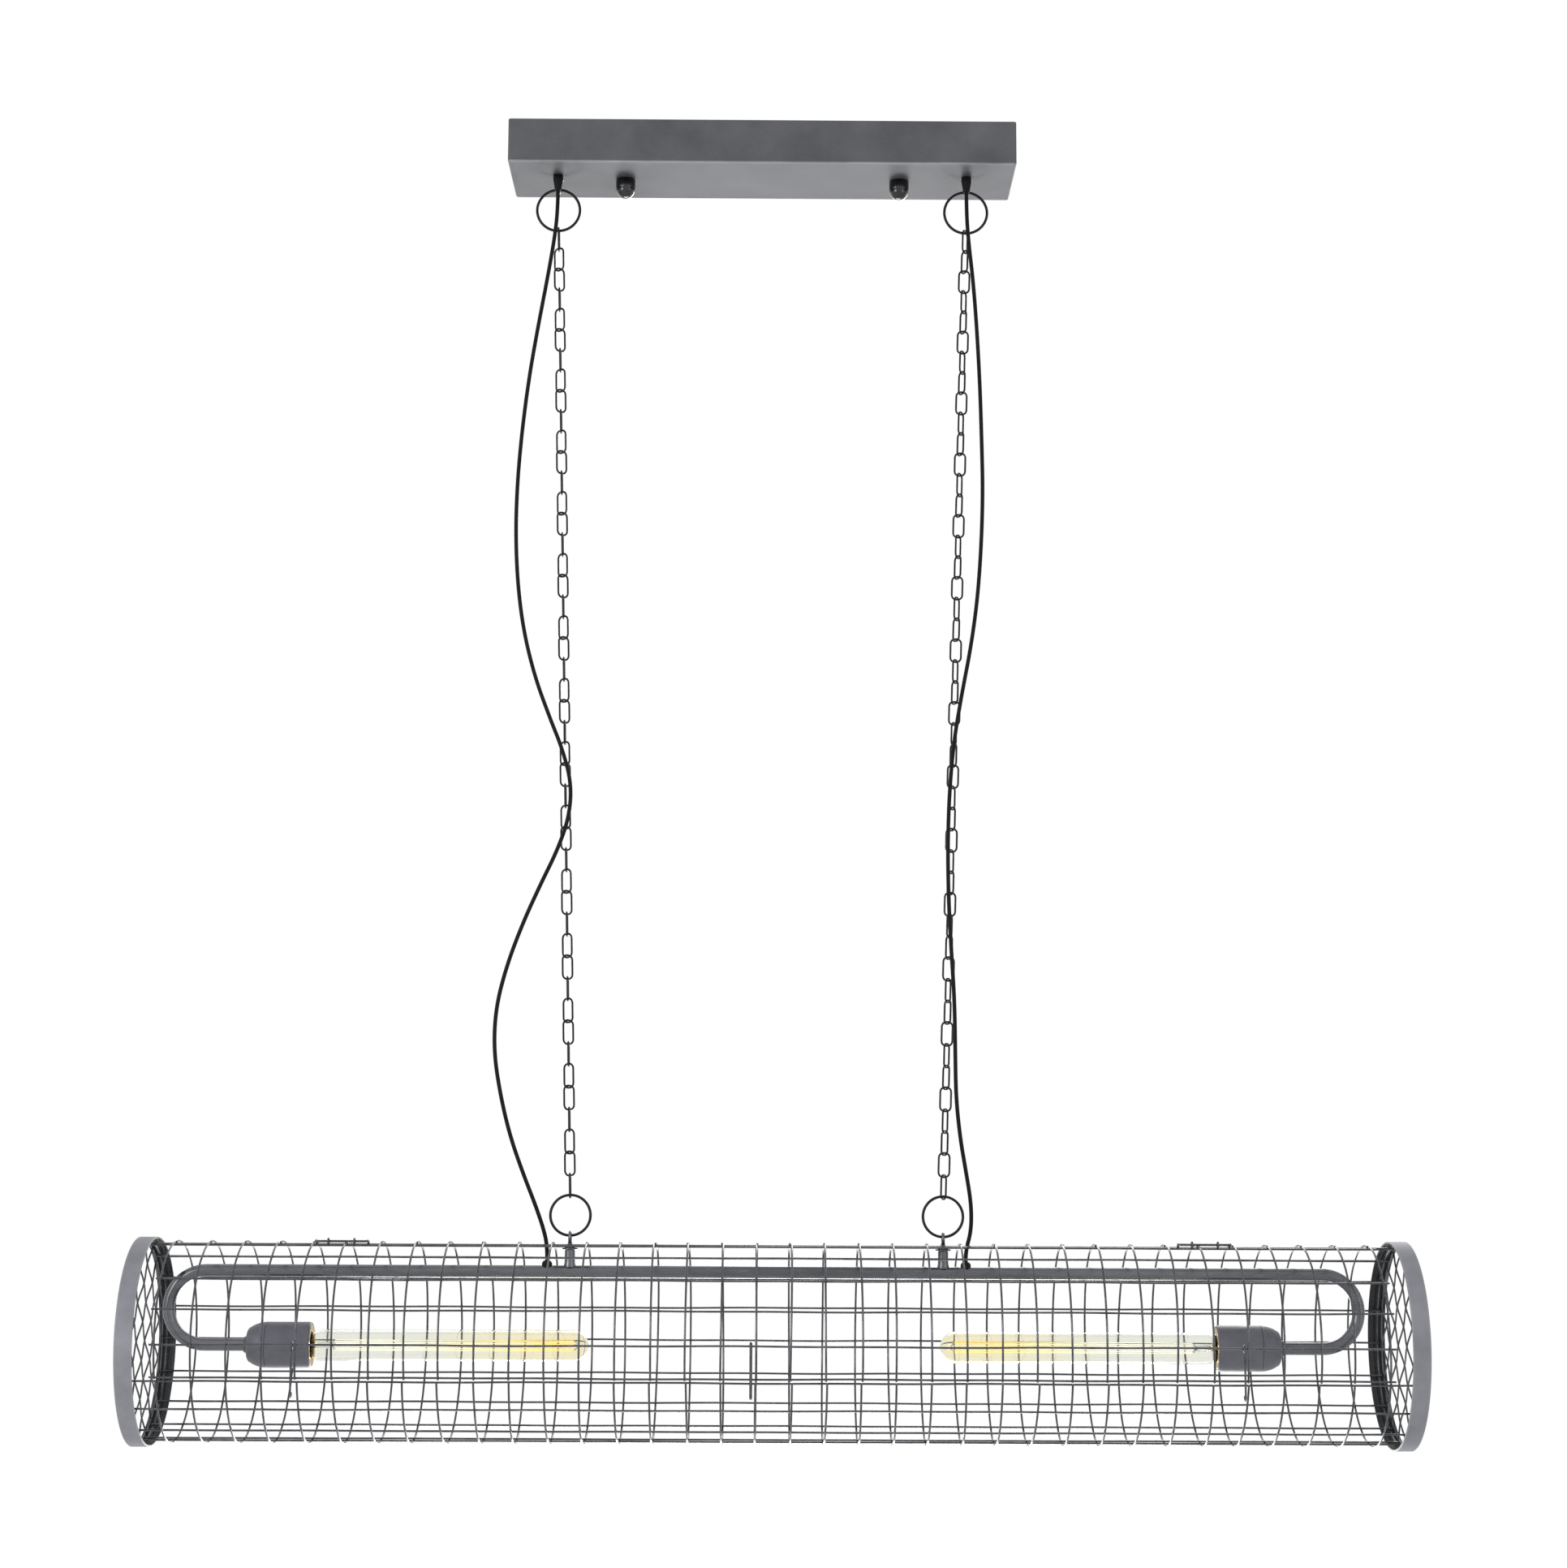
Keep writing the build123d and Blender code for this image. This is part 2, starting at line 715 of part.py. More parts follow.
screw_shells = turned(
    sides,
    (insert_front, shell_in_r - holder_wall),
    (insert_front, shell_r),
    (holder_length - shell_flange_t, shell_r),
    (holder_length - shell_flange_t, skirt_in_r - fit_gap),
    (holder_length, skirt_in_r - fit_gap),
    (holder_length, shell_in_r),
    (insert_front + shell_wall, shell_in_r),
    (insert_front + shell_wall, shell_in_r - holder_wall),
)
keep(screw_shells, "screw_shells")

holder_contacts = turned(
    sides,
    (insert_back, 0),
    (insert_back, contact_r / 2 - fit_gap),
    (insert_front, contact_r / 2 - fit_gap),
    (insert_front, contact_r),
    (contact_front, contact_r),
    (contact_front, 0),
)
keep(holder_contacts, "holder_contacts")

neck_back = bulb_cap_front - neck_lap
neck_front = holder_length - fit_gap
body_start = neck_front + bulb_flare
dome_start = bulb_tip - bulb_r
stem_front = neck_back + stem_length
stem_foot_front = neck_back + stem_foot
stem_foot_r = bulb_neck_r - bulb_wall - fit_gap
filament_front = bulb_tip - bulb_wall - bulb_r / 2
for side in sides:
    bulb_cap = turned(
        [side],
        (bulb_back, 0),
        (bulb_back, contact_r),
        (bulb_back + bulb_cap_cone, bulb_cap_r),
        (bulb_cap_front, bulb_cap_r),
        (bulb_cap_front, bulb_cap_r - bulb_cap_wall),
        (neck_back, bulb_cap_r - bulb_cap_wall),
        (neck_back, 0),
    )
    keep(bulb_cap, f"bulb_cap_{side}")
    bulb_glass = turned(
        [side],
        (neck_back, bulb_neck_r - bulb_wall),
        (neck_back, bulb_neck_r),
        (neck_front, bulb_neck_r),
        (body_start, bulb_r),
        *dome(dome_start, bulb_r, bulb_r, steps=4),
        *reversed(dome(dome_start, bulb_r - bulb_wall, bulb_r - bulb_wall, steps=4)),
        (body_start, bulb_r - bulb_wall),
        (neck_front, bulb_neck_r - bulb_wall),
    )
    keep(bulb_glass, f"bulb_glass_{side}")
    with BuildPart() as filament_mount:
        stem = turned(
            [side],
            (neck_back, 0),
            (neck_back, stem_foot_r),
            (stem_foot_front, stem_foot_r),
            (stem_foot_front + stem_cone, stem_r),
            (stem_front, stem_r),
            (stem_front, 0),
        )
        add(stem.part)
        with BuildSketch(holder_plane(side)):
            with Locations(((stem_front + filament_front) / 2, 0)):
                Rectangle(filament_front - stem_front + 2 * filament_r, 2 * (filament_spread + filament_r))
                Rectangle(filament_front - stem_front, 2 * filament_spread, mode=Mode.SUBTRACT)
        extrude(amount=filament_r, both=True)
    keep(filament_mount, f"filament_{side}")

# End bands and their diamond grilles
with BuildSketch() as diamonds:
    with Locations(Location((0, 0, 0), (0, 0, 45))):
        cell = grille_diagonal / 2**0.5
        cells = 2 * int(band_r / cell) + 3
        with GridLocations(cell, cell, cells, cells):
            Rectangle(cell - grille_wire, cell - grille_wire)
    Circle(band_in_r - fit_gap - grille_wire, mode=Mode.INTERSECT)

left_end = cage_middle - cage_half
right_end = cage_middle + cage_half
with BuildPart() as end_bands:
    with BuildSketch(Plane.YZ.offset(left_end), Plane.YZ.offset(right_end - band_width)):
        with Locations((0, cage_z)):
            Circle(band_r)
            Circle(band_in_r, mode=Mode.SUBTRACT)
    extrude(amount=band_width)
keep(end_bands, "end_bands")

with BuildPart() as end_grilles:
    grille_places = [left_end + grille_inset, right_end - grille_inset - grille_t]
    with BuildSketch(*[Plane.YZ.offset(x) for x in grille_places]):
        with Locations((0, cage_z)):
            Circle(band_in_r - fit_gap)
            add(diamonds.sketch, mode=Mode.SUBTRACT)
    extrude(amount=grille_t)
keep(end_grilles, "end_grilles")


def ring_wires(places, first, last):
    """Square wires bent round the cage from one place to another, one at each place along it."""
    with BuildPart() as wires:
        with BuildSketch(*[Plane.YZ.offset(x) for x in places]):
            with BuildLine():
                outer = ring_edge(first, last, wire_out)
                inner = ring_edge(first, last, wire_in)
                Polyline(*outer, *reversed(inner), close=True)
            make_face()
        extrude(amount=wire / 2, both=True)
    return wires


def line_wires(places, length, middle):
    """Square wires along the cage, inside its rings, at each (flat, along) place."""
    with BuildPart() as wires:
        for flat, along in places:
            y, z = flat_point(flat, along, wire_in - wire / 2)
            with Locations(Location((middle, y, z), (flat, 0, 0))):
                Box(length, wire, wire)
    return wires


# Cage body: rings from the front edge under and up the back to the hinge, and a whole ring in each band
rim_x = cage_half - band_width / 2
body_ends = [(front_flat, door_edge - wire / 2), (360 + top_flat, wire / 2 - body_top_edge)]
with BuildPart() as body_rings:
    add(ring_wires(ring_places, *body_ends).part)
    with BuildSketch(Plane.YZ.offset(cage_middle - rim_x), Plane.YZ.offset(cage_middle + rim_x)):
        with Locations((0, cage_z)):
            RegularPolygon(wire_out, line_count, major_radius=False, rotation=half_step)
            RegularPolygon(wire_in, line_count, major_radius=False, rotation=half_step, mode=Mode.SUBTRACT)
    extrude(amount=wire / 2, both=True)
keep(body_rings, "body_ring_wires")

body_flats = [(front_flat + step * k, 0) for k in range(1, line_count - 5)]
body_places = [(front_flat, door_edge), *body_flats, (top_flat, -body_top_edge)]
body_lines = line_wires(body_places, 2 * (rim_x + wire), cage_middle)
keep(body_lines, "body_line_wires")

# Door: the front of the cage, from the hinge line at the top down to the front edge
door_rings = ring_wires(ring_places, (top_flat, door_top_edge - wire / 2), (front_flat, wire / 2 - door_edge))
keep(door_rings, "door_ring_wires")

door_flats = [(top_flat + step * k, 0) for k in range(1, 5)]
door_length = ring_places[-1] - ring_places[0] + 2 * door_overhang
door_places = [(top_flat, door_top_edge), *door_flats, (front_flat, -door_edge)]
door_lines = line_wires(door_places, door_length, cage_middle)
keep(door_lines, "door_line_wires")

# Hinges: rods bent down onto the body's top wire, and eyes on the door's top wire that turn on them
hinge_eye_in = hinge_rod_r + turning_gap
hinge_eye_r = hinge_eye_in + hinge_eye_wall
hinge_reach = wire_in + hinge_eye_r
hinge_y, hinge_z = flat_point(top_flat, door_top_edge, hinge_reach)
hinge_middles = [cage_middle - hinge_pitch * ring_pitch, cage_middle + hinge_pitch * ring_pitch]
with BuildPart() as hinge_rods:
    for middle in hinge_middles:
        seat = flat_point(top_flat, -body_top_edge, wire_in)
        shoulder = flat_point(top_flat, -body_top_edge, hinge_reach)
        ends = [middle - hinge_length / 2, middle + hinge_length / 2]
        with BuildLine() as path:
            Polyline(
                (ends[0], *seat),
                (ends[0], *shoulder),
                (ends[0], hinge_y, hinge_z),
                (ends[1], hinge_y, hinge_z),
                (ends[1], *shoulder),
                (ends[1], *seat),
            )
        with BuildSketch(Plane(origin=path.line @ 0, z_dir=path.line % 0)):
            RegularPolygon(hinge_rod_r, wire_sides)
        sweep(transition=Transition.RIGHT)
keep(hinge_rods, "hinge_rods")

eye_offsets = (-hinge_length / 4, hinge_length / 4)
hinge_eye_places = [middle + way for middle in hinge_middles for way in eye_offsets]
with BuildPart() as hinge_eyes:
    with BuildSketch(*[Plane.YZ.offset(x) for x in hinge_eye_places]):
        with Locations((hinge_y, hinge_z)):
            RegularPolygon(hinge_eye_r, eye_sides, rotation=top_flat)
            RegularPolygon(hinge_eye_in, eye_sides, major_radius=False, rotation=top_flat, mode=Mode.SUBTRACT)
    extrude(amount=hinge_eye_t / 2, both=True)
keep(hinge_eyes, "hinge_eyes")

# Latch hooks: an eye round the door's middle wire and a shank that hangs over the front edge to a hook
latch_y, latch_z = flat_point(90, 0, wire_in - wire / 2)
latch_eye_in = wire / 2**0.5 + turning_gap
latch_places = {
    "left": (cage_middle - latch_pitch * ring_pitch - latch_side, latch_wire_r),
    "centre": (cage_middle - ring_pitch / 2 - latch_side, latch_strip_r),
    "right": (cage_middle + latch_pitch * ring_pitch - latch_side, latch_wire_r),
}
for name, (x, wire_r) in latch_places.items():
    shank_y = latch_y - latch_eye_in - wire_r
    with BuildPart() as latch:
        with BuildSketch(Plane.YZ.offset(x)):
            with Locations((latch_y, latch_z)):
                RegularPolygon(latch_eye_in + 2 * wire_r, eye_sides, major_radius=False)
                RegularPolygon(latch_eye_in, eye_sides, major_radius=False, mode=Mode.SUBTRACT)
        extrude(amount=wire_r, both=True)
        with BuildLine() as path:
            Polyline(
                (x, shank_y, latch_z),
                (x, shank_y, latch_z - latch_drop),
                (x, shank_y + latch_hook, latch_z - latch_drop - latch_hook / 2),
                (x, shank_y + latch_hook, latch_z - latch_drop + latch_hook / 2),
            )
        with BuildSketch(Plane(origin=path.line @ 0, z_dir=path.line % 0)):
            RegularPolygon(wire_r, wire_sides)
        sweep(transition=Transition.RIGHT)
    keep(latch, f"latch_{name}")

print(f"cage axis at {cage_z:.1f}, bottom at {cage_z - band_r:.1f}, lower ring at {lower_ring_z:.1f}")
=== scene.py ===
"""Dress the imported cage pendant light: finishes, round wires, glass bulbs, cords, light and camera.

Lengths are in millimetres in the CAD model's frame, with the origin on the ceiling, X along the lamp, Y away from the
viewer and Z up. Points are turned to metres when a mesh is made. A profile is a list of places along an axis and radii.
"""

from __future__ import annotations

import logging
from collections.abc import Callable
from dataclasses import dataclass, field
from enum import Enum
from functools import partial
from math import asin, cos, pi, radians, sin

import bmesh
import bpy
import numpy as np
from mathutils import Matrix, Vector

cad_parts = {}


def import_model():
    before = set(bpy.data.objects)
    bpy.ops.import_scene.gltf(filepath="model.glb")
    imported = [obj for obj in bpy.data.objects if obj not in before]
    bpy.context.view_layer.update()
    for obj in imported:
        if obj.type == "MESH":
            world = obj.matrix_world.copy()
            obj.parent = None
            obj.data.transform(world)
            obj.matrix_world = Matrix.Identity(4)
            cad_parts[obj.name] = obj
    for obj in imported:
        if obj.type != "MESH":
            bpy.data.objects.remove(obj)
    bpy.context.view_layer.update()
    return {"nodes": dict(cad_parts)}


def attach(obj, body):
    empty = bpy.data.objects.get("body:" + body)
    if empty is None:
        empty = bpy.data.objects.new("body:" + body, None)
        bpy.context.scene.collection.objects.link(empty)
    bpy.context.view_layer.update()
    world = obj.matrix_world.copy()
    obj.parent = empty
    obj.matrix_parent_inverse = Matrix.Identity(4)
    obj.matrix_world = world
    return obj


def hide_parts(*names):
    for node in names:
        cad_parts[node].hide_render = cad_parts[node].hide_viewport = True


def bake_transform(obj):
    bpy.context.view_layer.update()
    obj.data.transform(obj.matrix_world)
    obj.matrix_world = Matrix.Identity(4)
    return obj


log = logging.getLogger("cage_pendant")

Array = np.ndarray
Point = tuple[float, float, float]
Socket = bpy.types.NodeSocket
AddNode = Callable[..., bpy.types.bpy_prop_collection]

MM = 0.001
METRE_MM = 1000.0
ALONG, BACK, UP, DOWN = (1, 0, 0), (0, 1, 0), (0, 0, 1), (0, 0, -1)

# Points closer than this many metres are one point, and an edge shorter than the second value is none
SAME_POINT, NO_EDGE = 1e-7, 1e-8

# Places that more than one sub-assembly uses: X of the upper and lower rings, the height of the cage's axis, and X of
# the middle between the lampholders and of the cage's middle
HANG_X = 209.0
POST_X = 181.5
AXIS_Z = -1222.83
HOLDER_MIDDLE = 8.0
CAGE_MIDDLE = 16.5

# The round eye of the hanging loops and of the posts: radius, wire, points along and around
EYE = (5.0, 1.5, 40, 16)


class Side(Enum):
    """Left or right end of the lamp, with the sign of its X."""

    LEFT = -1
    RIGHT = 1

    @property
    def word(self) -> str:
        """Name of the side as the CAD nodes spell it."""
        return self.name.lower()

    @property
    def inward(self) -> Point:
        """Direction from this end to the lamp's middle."""
        return (-self.value, 0, 0)


class Grain(Enum):
    """How a finish's pattern lies: even in all directions, or drawn out along the lamp."""

    EVEN = (1.0, 1.0, 1.0)
    ALONG_X = (0.06, 1.0, 1.0)


# Surfaces


@dataclass(frozen=True)
class Grid:
    """A surface of two parameters: points[i, j], i along the shape and j around it, with painted highlight and wear by
    row.
    """

    points: Array
    around: bool = True
    along: bool = False
    capped: bool = False
    worn: Array | None = None

    def highlight_and_rub_share(self) -> Array:
        """How far each point has the painted highlight and wear, from 0 to 1: the row's own value, or none."""
        rows, columns = self.points.shape[:2]
        return np.repeat(np.zeros(rows) if self.worn is None else self.worn, columns)

    def faces(self, start: int) -> list[list[int]]:
        """Quads between neighbouring grid points, and a face on each end where the ends are capped.

        Args:
            start: index of the grid's first vertex in its mesh.

        Returns:
            Vertex indices of each face, wound so that it faces outwards.
        """
        rows, columns = self.points.shape[:2]
        index = np.arange(rows * columns).reshape(rows, columns) + start
        wrapped = np.concatenate([index, index[:1]]) if self.along else index
        if self.around:
            wrapped = np.concatenate([wrapped, wrapped[:, :1]], axis=1)
        corners = [wrapped[:-1, :-1], wrapped[:-1, 1:], wrapped[1:, 1:], wrapped[1:, :-1]]
        found = np.stack(corners, axis=-1).reshape(-1, 4).tolist()
        if self.capped:
            found += [index[0, ::-1].tolist(), index[-1].tolist()]
        return found


def unit(vectors: Array) -> Array:
    """Vectors scaled to length 1 along their last axis."""
    return vectors / np.linalg.norm(vectors, axis=-1, keepdims=True)


def quadratic(start: Array, handle: Array, end: Array, t: Array) -> Array:
    """Curve at shares t: (1 - t) squared of the start, 2 t (1 - t) of the handle and t squared of the end."""
    return (1 - t) ** 2 * start + 2 * t * (1 - t) * handle + t**2 * end


def carry(path: Array, radius: float, side: Point, sides: int = 10, closed: bool = False) -> Grid:
    """Carry a circle along a path.

    Each section lies square to the path's tangent t. Its first direction is the given side vector less its part
    along t, its second the cross product of t and the first, and a point is the path's point plus the radius times
    the cosine and sine of the section angle along these two.

    Args:
        path: points along the path.
        radius: the circle's radius.
        side: a direction that is never parallel to the path.
        sides: points around the circle.
        closed: whether the path ends where it starts.

    Returns:
        The tube's grid.
    """
    if closed:
        tangent = unit(np.roll(path, -1, axis=0) - np.roll(path, 1, axis=0))
    else:
        tangent = unit(np.gradient(path, axis=0))
    given = np.asarray(side, float)
    first = unit(given - (tangent @ given)[:, None] * tangent)
    second = np.cross(tangent, first)
    angle = np.linspace(0, 2 * pi, sides, endpoint=False)[None, :, None]
    points = path[:, None] + radius * (np.cos(angle) * first[:, None] + np.sin(angle) * second[:, None])
    return Grid(points, along=closed, capped=not closed)


def turn(
    profile: Array, origin: Point, axis: Point, sides: int,
    knurl: float = 0.0, ribs: int = 0, capped: bool = False, worn: Array | None = None,
) -> Grid:
    """Turn a profile about an axis.

    A profile row is the way along the axis and the radius. The point at angle a is the origin, plus that way along
    the axis, plus the radius times cos a and sin a on two directions square to the axis. A knurl takes a share of
    the radius off between its ribs, as a cosine of the ribs times the angle.

    Args:
        profile: rows of (along, radius), or of (along, radius, share of the knurl).
        origin: where the axis starts.
        axis: the axis's direction, which the outer wall's profile runs along.
        sides: points around.
        knurl: depth of the knurl as a share of the radius.
        ribs: number of ribs around.
        capped: whether a flat face closes each end of the profile.
        worn: how far each row of the profile has the painted highlight and wear, from 0 to 1.

    Returns:
        The turned grid.
    """
    direction = unit(np.asarray(axis, float))
    first = unit(np.cross(ALONG if direction[2] else UP, direction))
    second = np.cross(direction, first)
    angle = np.linspace(0, 2 * pi, sides, endpoint=False)[None, :, None]
    along, radius = profile[:, 0, None, None], profile[:, 1, None, None]
    if ribs:
        radius = radius * (1 - knurl * profile[:, 2, None, None] * (0.5 + 0.5 * np.cos(ribs * angle)))
    points = np.asarray(origin, float) + along * direction
    around = radius * (np.cos(angle) * first + np.sin(angle) * second)
    return Grid(points + around, capped=capped, worn=worn)


def arc(centre: tuple[float, float], radius: float, start: float, end: float, steps: int) -> Array:
    """Points on a circle between two angles in degrees: the centre plus the radius times their cosine and sine."""
    angle = np.radians(np.linspace(start, end, steps))
    return np.c_[centre[0] + radius * np.cos(angle), centre[1] + radius * np.sin(angle)]


def plain(profile: Array) -> Array:
    """Profile rows with no share of the knurl."""
    return np.c_[profile, np.zeros(len(profile))]


def round_rectangle(x: float, y: float, radius: float, steps: int) -> Array:
    """Points round a rectangle with round corners, whose centres lie x and y from its middle."""
    quarters = [((x, y), 0), ((-x, y), 90), ((-x, -y), 180), ((x, -y), 270)]
    return np.concatenate([arc(centre, radius, start, start + 90, steps) for centre, start in quarters])


def bend(corners: list[Point], radius: float, steps: int = 7) -> Array:
    """Path of straight runs with round bends at its corners, for a bent wire.

    At a corner with half turn h, the bend starts and ends radius times tan h from the corner. Its points are the
    quadratic curve through these two with the corner as its handle, which is close to the arc at such small bends.

    Args:
        corners: points of the runs.
        radius: the bends' radius.
        steps: points in each bend.

    Returns:
        The path's points.
    """
    c = np.asarray(corners, float)
    into, out = unit(c[1:-1] - c[:-2]), unit(c[2:] - c[1:-1])
    half = np.arccos(np.clip((into * out).sum(1), -1, 1)) / 2
    reach = (radius * np.tan(half))[:, None]
    starts, ends = c[1:-1] - reach * into, c[1:-1] + reach * out
    t = np.linspace(0, 1, steps)[None, :, None]
    curves = quadratic(starts[:, None], c[1:-1, None], ends[:, None], t)
    return np.concatenate([c[:1], curves.reshape(-1, 3), c[-1:]])


def wire_ring(
    centre: Point, radius: float, wire: float, steps: int, sides: int, across: Point = BACK, side: Point = ALONG
) -> Grid:
    """Bend a wire to an upright ring: at angle a, the centre plus the radius times cos a across and sin a up.

    Args:
        centre: the ring's centre.
        radius: its radius, to the middle of the wire.
        wire: the wire's radius.
        steps: points along the ring.
        sides: points around the wire.
        across: the ring's level direction.
        side: direction square to the ring.

    Returns:
        The ring's grid.
    """
    angle = np.linspace(0, 2 * pi, steps, endpoint=False)[:, None]
    path = np.asarray(centre, float) + radius * (np.cos(angle) * np.asarray(across) + np.sin(angle) * np.asarray(UP))
    return carry(path, wire, side, sides, closed=True)


def add_object(name: str, data: bpy.types.ID) -> bpy.types.Object:
    """Put new data into the scene as an object at the origin.

    Args:
        name: the object's name.
        data: its mesh, light or camera.

    Returns:
        The new object.
    """
    made = bpy.data.objects.new(name, data)
    bpy.context.scene.collection.objects.link(made)
    return made


def make_piece(name: str, grids: list[Grid], look: Look, sharp: float = 40.0) -> bpy.types.Object:
    """Put grids into one mesh object at the origin, with poles and seams closed and smooth shading.

    Args:
        name: the piece's name.
        grids: its surfaces.
        look: its finish.
        sharp: edges that turn by more than this many degrees stay sharp.

    Returns:
        The new object.
    """
    starts = np.cumsum([0] + [g.points.shape[0] * g.points.shape[1] for g in grids])
    points = np.concatenate([g.points.reshape(-1, 3) for g in grids]) * MM
    faces = [face for grid, start in zip(grids, starts) for face in grid.faces(int(start))]
    mesh = bpy.data.meshes.new(name)
    mesh.from_pydata(points.tolist(), [], faces)
    # Share of painted highlight and wear at each point
    worn = mesh.attributes.new("worn", "FLOAT", "POINT")
    worn.data.foreach_set("value", np.concatenate([g.highlight_and_rub_share() for g in grids]))
    work = bmesh.new()
    work.from_mesh(mesh)
    bmesh.ops.remove_doubles(work, verts=work.verts, dist=SAME_POINT)
    bmesh.ops.dissolve_degenerate(work, edges=work.edges, dist=NO_EDGE)
    work.to_mesh(mesh)
    work.free()
    mesh.shade_smooth()
    mesh.set_sharp_from_angle(angle=radians(sharp))
    mesh.materials.append(look.material())
    return add_object(name, mesh)


def place(
    name: str, grids: list[Grid], look: Look, body: str, slot: str, *nodes: str, sharp: float = 40.0
) -> bpy.types.Object:
    """Make a piece that rides on a CAD body and stands for CAD nodes.

    Args:
        name: the piece's name.
        grids: its surfaces.
        look: its finish.
        body: name of the CAD body.
        slot: name of the record's material slot; not used.
        nodes: CAD nodes that the piece stands for.
        sharp: as in make_piece.

    Returns:
        The new object.
    """
    piece = make_piece(name, grids, look, sharp)
    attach(piece, body)
    if nodes:
        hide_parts(*nodes)
    log.info("%s rides on %s", name, body)
    return piece


# Finishes


def linear(code: str) -> tuple[float, float, float, float]:
    """Linear colour of an sRGB hex code, by the standard sRGB curve.

    Args:
        code: a hash and six hex digits.

    Returns:
        Red, green, blue and full opacity.
    """
    value = np.array([int(code[i : i + 2], 16) for i in (1, 3, 5)]) / 255
    curve = np.where(value <= 0.04045, value / 12.92, ((value + 0.055) / 1.055) ** 2.4)
    return (*curve.tolist(), 1.0)


def add_node(
    tree: bpy.types.NodeTree, kind: str, settings: dict[str, str] | None = None, **sockets: object
) -> bpy.types.bpy_prop_collection:
    """Add a node to a tree with its settings, socket values and links.

    Args:
        tree: the node tree.
        kind: the node's type.
        settings: attributes of the node.
        sockets: input names, with underscores for spaces, or an underscore and the input's index where inputs share a
            name, each with a value or an output socket to link.

    Returns:
        The new node's outputs.
    """
    node = tree.nodes.new(kind)
    for key, value in (settings or {}).items():
        setattr(node, key, value)
    for key, value in sockets.items():
        target = node.inputs[int(key[1:])] if key[0] == "_" else node.inputs[key.replace("_", " ")]
        if isinstance(value, Socket):
            tree.links.new(value, target)
        else:
            target.default_value = value
    return node.outputs


# A Mix node of colours has its share in input 0, its colours in inputs 6 and 7, and the mixed colour in output 2
COLOURS = {"data_type": "RGBA"}
MULTIPLY = {"operation": "MULTIPLY"}
MAXIMUM = {"operation": "MAXIMUM"}

# Range in which most of a noise's values lie
NOISE = {"From_Min": 0.3, "From_Max": 0.7}


@dataclass(frozen=True)
class Look:
    """What a surface looks like: a material of nodes, made once and shared."""

    name: str

    def material(self) -> bpy.types.Material:
        """Build the node material, or give back the one already made.

        Returns:
            The material.
        """
        made = bpy.data.materials.get(self.name)
        if made is None:
            made = bpy.data.materials.new(self.name)
            made.use_nodes = True
            made.node_tree.nodes.clear()
            add = partial(add_node, made.node_tree)
            where = add("ShaderNodeTexCoord")["Object"]
            add("ShaderNodeOutputMaterial", Surface=self.shader(add, where))
        return made

    def shader(self, add: AddNode, where: Socket) -> Socket:
        """Add this look's nodes, from object coordinates to the shader that it gives back."""
        raise NotImplementedError


@dataclass(frozen=True)
class Finish(Look):
    """One finish: what the material is, its colours and the real sizes of its pattern.

    The colour runs from low to high with a cloudy pattern of the mottle size. Specks of the fleck size mark it, and
    roughness follows the same clouds. Bump comes from the fleck pattern, with its depth in millimetres. The specks
    are drawn a few times coarser than the real grain, which is finer than a pixel here. Where the piece's own
    attribute marks an edge, a lighter colour shows in patches: a painted highlight on the box's fold, and wear on
    the bands' edges.
    """

    low: str
    high: str
    fleck: str
    roughness: tuple[float, float]
    mottle_mm: float
    fleck_mm: float
    metallic: float = 0.0
    fleck_share: float = 0.3
    depth_mm: float = 0.02
    grain: Grain = Grain.EVEN
    coat: float = 0.0
    # Lighter colour of marked edges: a painted highlight on the box's fold, wear on the bands' edges
    highlight_and_rub_colour: str = "#9c9da1"
    shine: float = 0.5

    def shader(self, add: AddNode, where: Socket) -> Socket:
        """Add the clouds and specks, and mix the colours, the roughness and the bump from them.

        Args:
            add: adds a node to the material.
            where: object coordinates.

        Returns:
            The shader's socket.
        """
        lie = add("ShaderNodeMapping", Vector=where, Scale=self.grain.value)["Vector"]
        mottle, fleck = METRE_MM / self.mottle_mm, METRE_MM / self.fleck_mm
        clouds = add("ShaderNodeTexNoise", Vector=lie, Scale=mottle, Detail=5.0, Roughness=0.6)["Fac"]
        specks = add("ShaderNodeTexNoise", Vector=lie, Scale=fleck, Detail=3.0, Roughness=0.7)["Fac"]
        spread = add("ShaderNodeMapRange", Value=clouds, **NOISE)["Result"]
        base = add("ShaderNodeMix", COLOURS, _0=spread, _6=linear(self.low), _7=linear(self.high))[2]
        share = add("ShaderNodeMapRange", Value=specks, From_Min=0.58, From_Max=0.7, To_Max=self.fleck_share)["Result"]
        marked = add("ShaderNodeMix", COLOURS, _0=share, _6=base, _7=linear(self.fleck))[2]
        # Painted highlight and wear on marked edges, in cloudy patches
        worn = add("ShaderNodeAttribute", {"attribute_name": "worn"})["Fac"]
        patches = add("ShaderNodeMapRange", Value=clouds, From_Min=0.3, From_Max=0.6, To_Min=0.35)["Result"]
        highlight_and_rub_mix = add("ShaderNodeMath", MULTIPLY, _0=worn, _1=patches)[0]
        colour = add("ShaderNodeMix", COLOURS, _0=highlight_and_rub_mix, _6=marked, _7=linear(self.highlight_and_rub_colour))[2]
        smooth, rough = self.roughness
        roughness = add("ShaderNodeMapRange", Value=clouds, To_Min=smooth, To_Max=rough, **NOISE)["Result"]
        bump = add("ShaderNodeBump", Height=specks, Strength=0.6, Distance=self.depth_mm * MM)["Normal"]
        return add(
            "ShaderNodeBsdfPrincipled", Base_Color=colour, Metallic=self.metallic, Roughness=roughness, Normal=bump,
            Coat_Weight=self.coat, Specular_IOR_Level=self.shine,
        )["BSDF"]


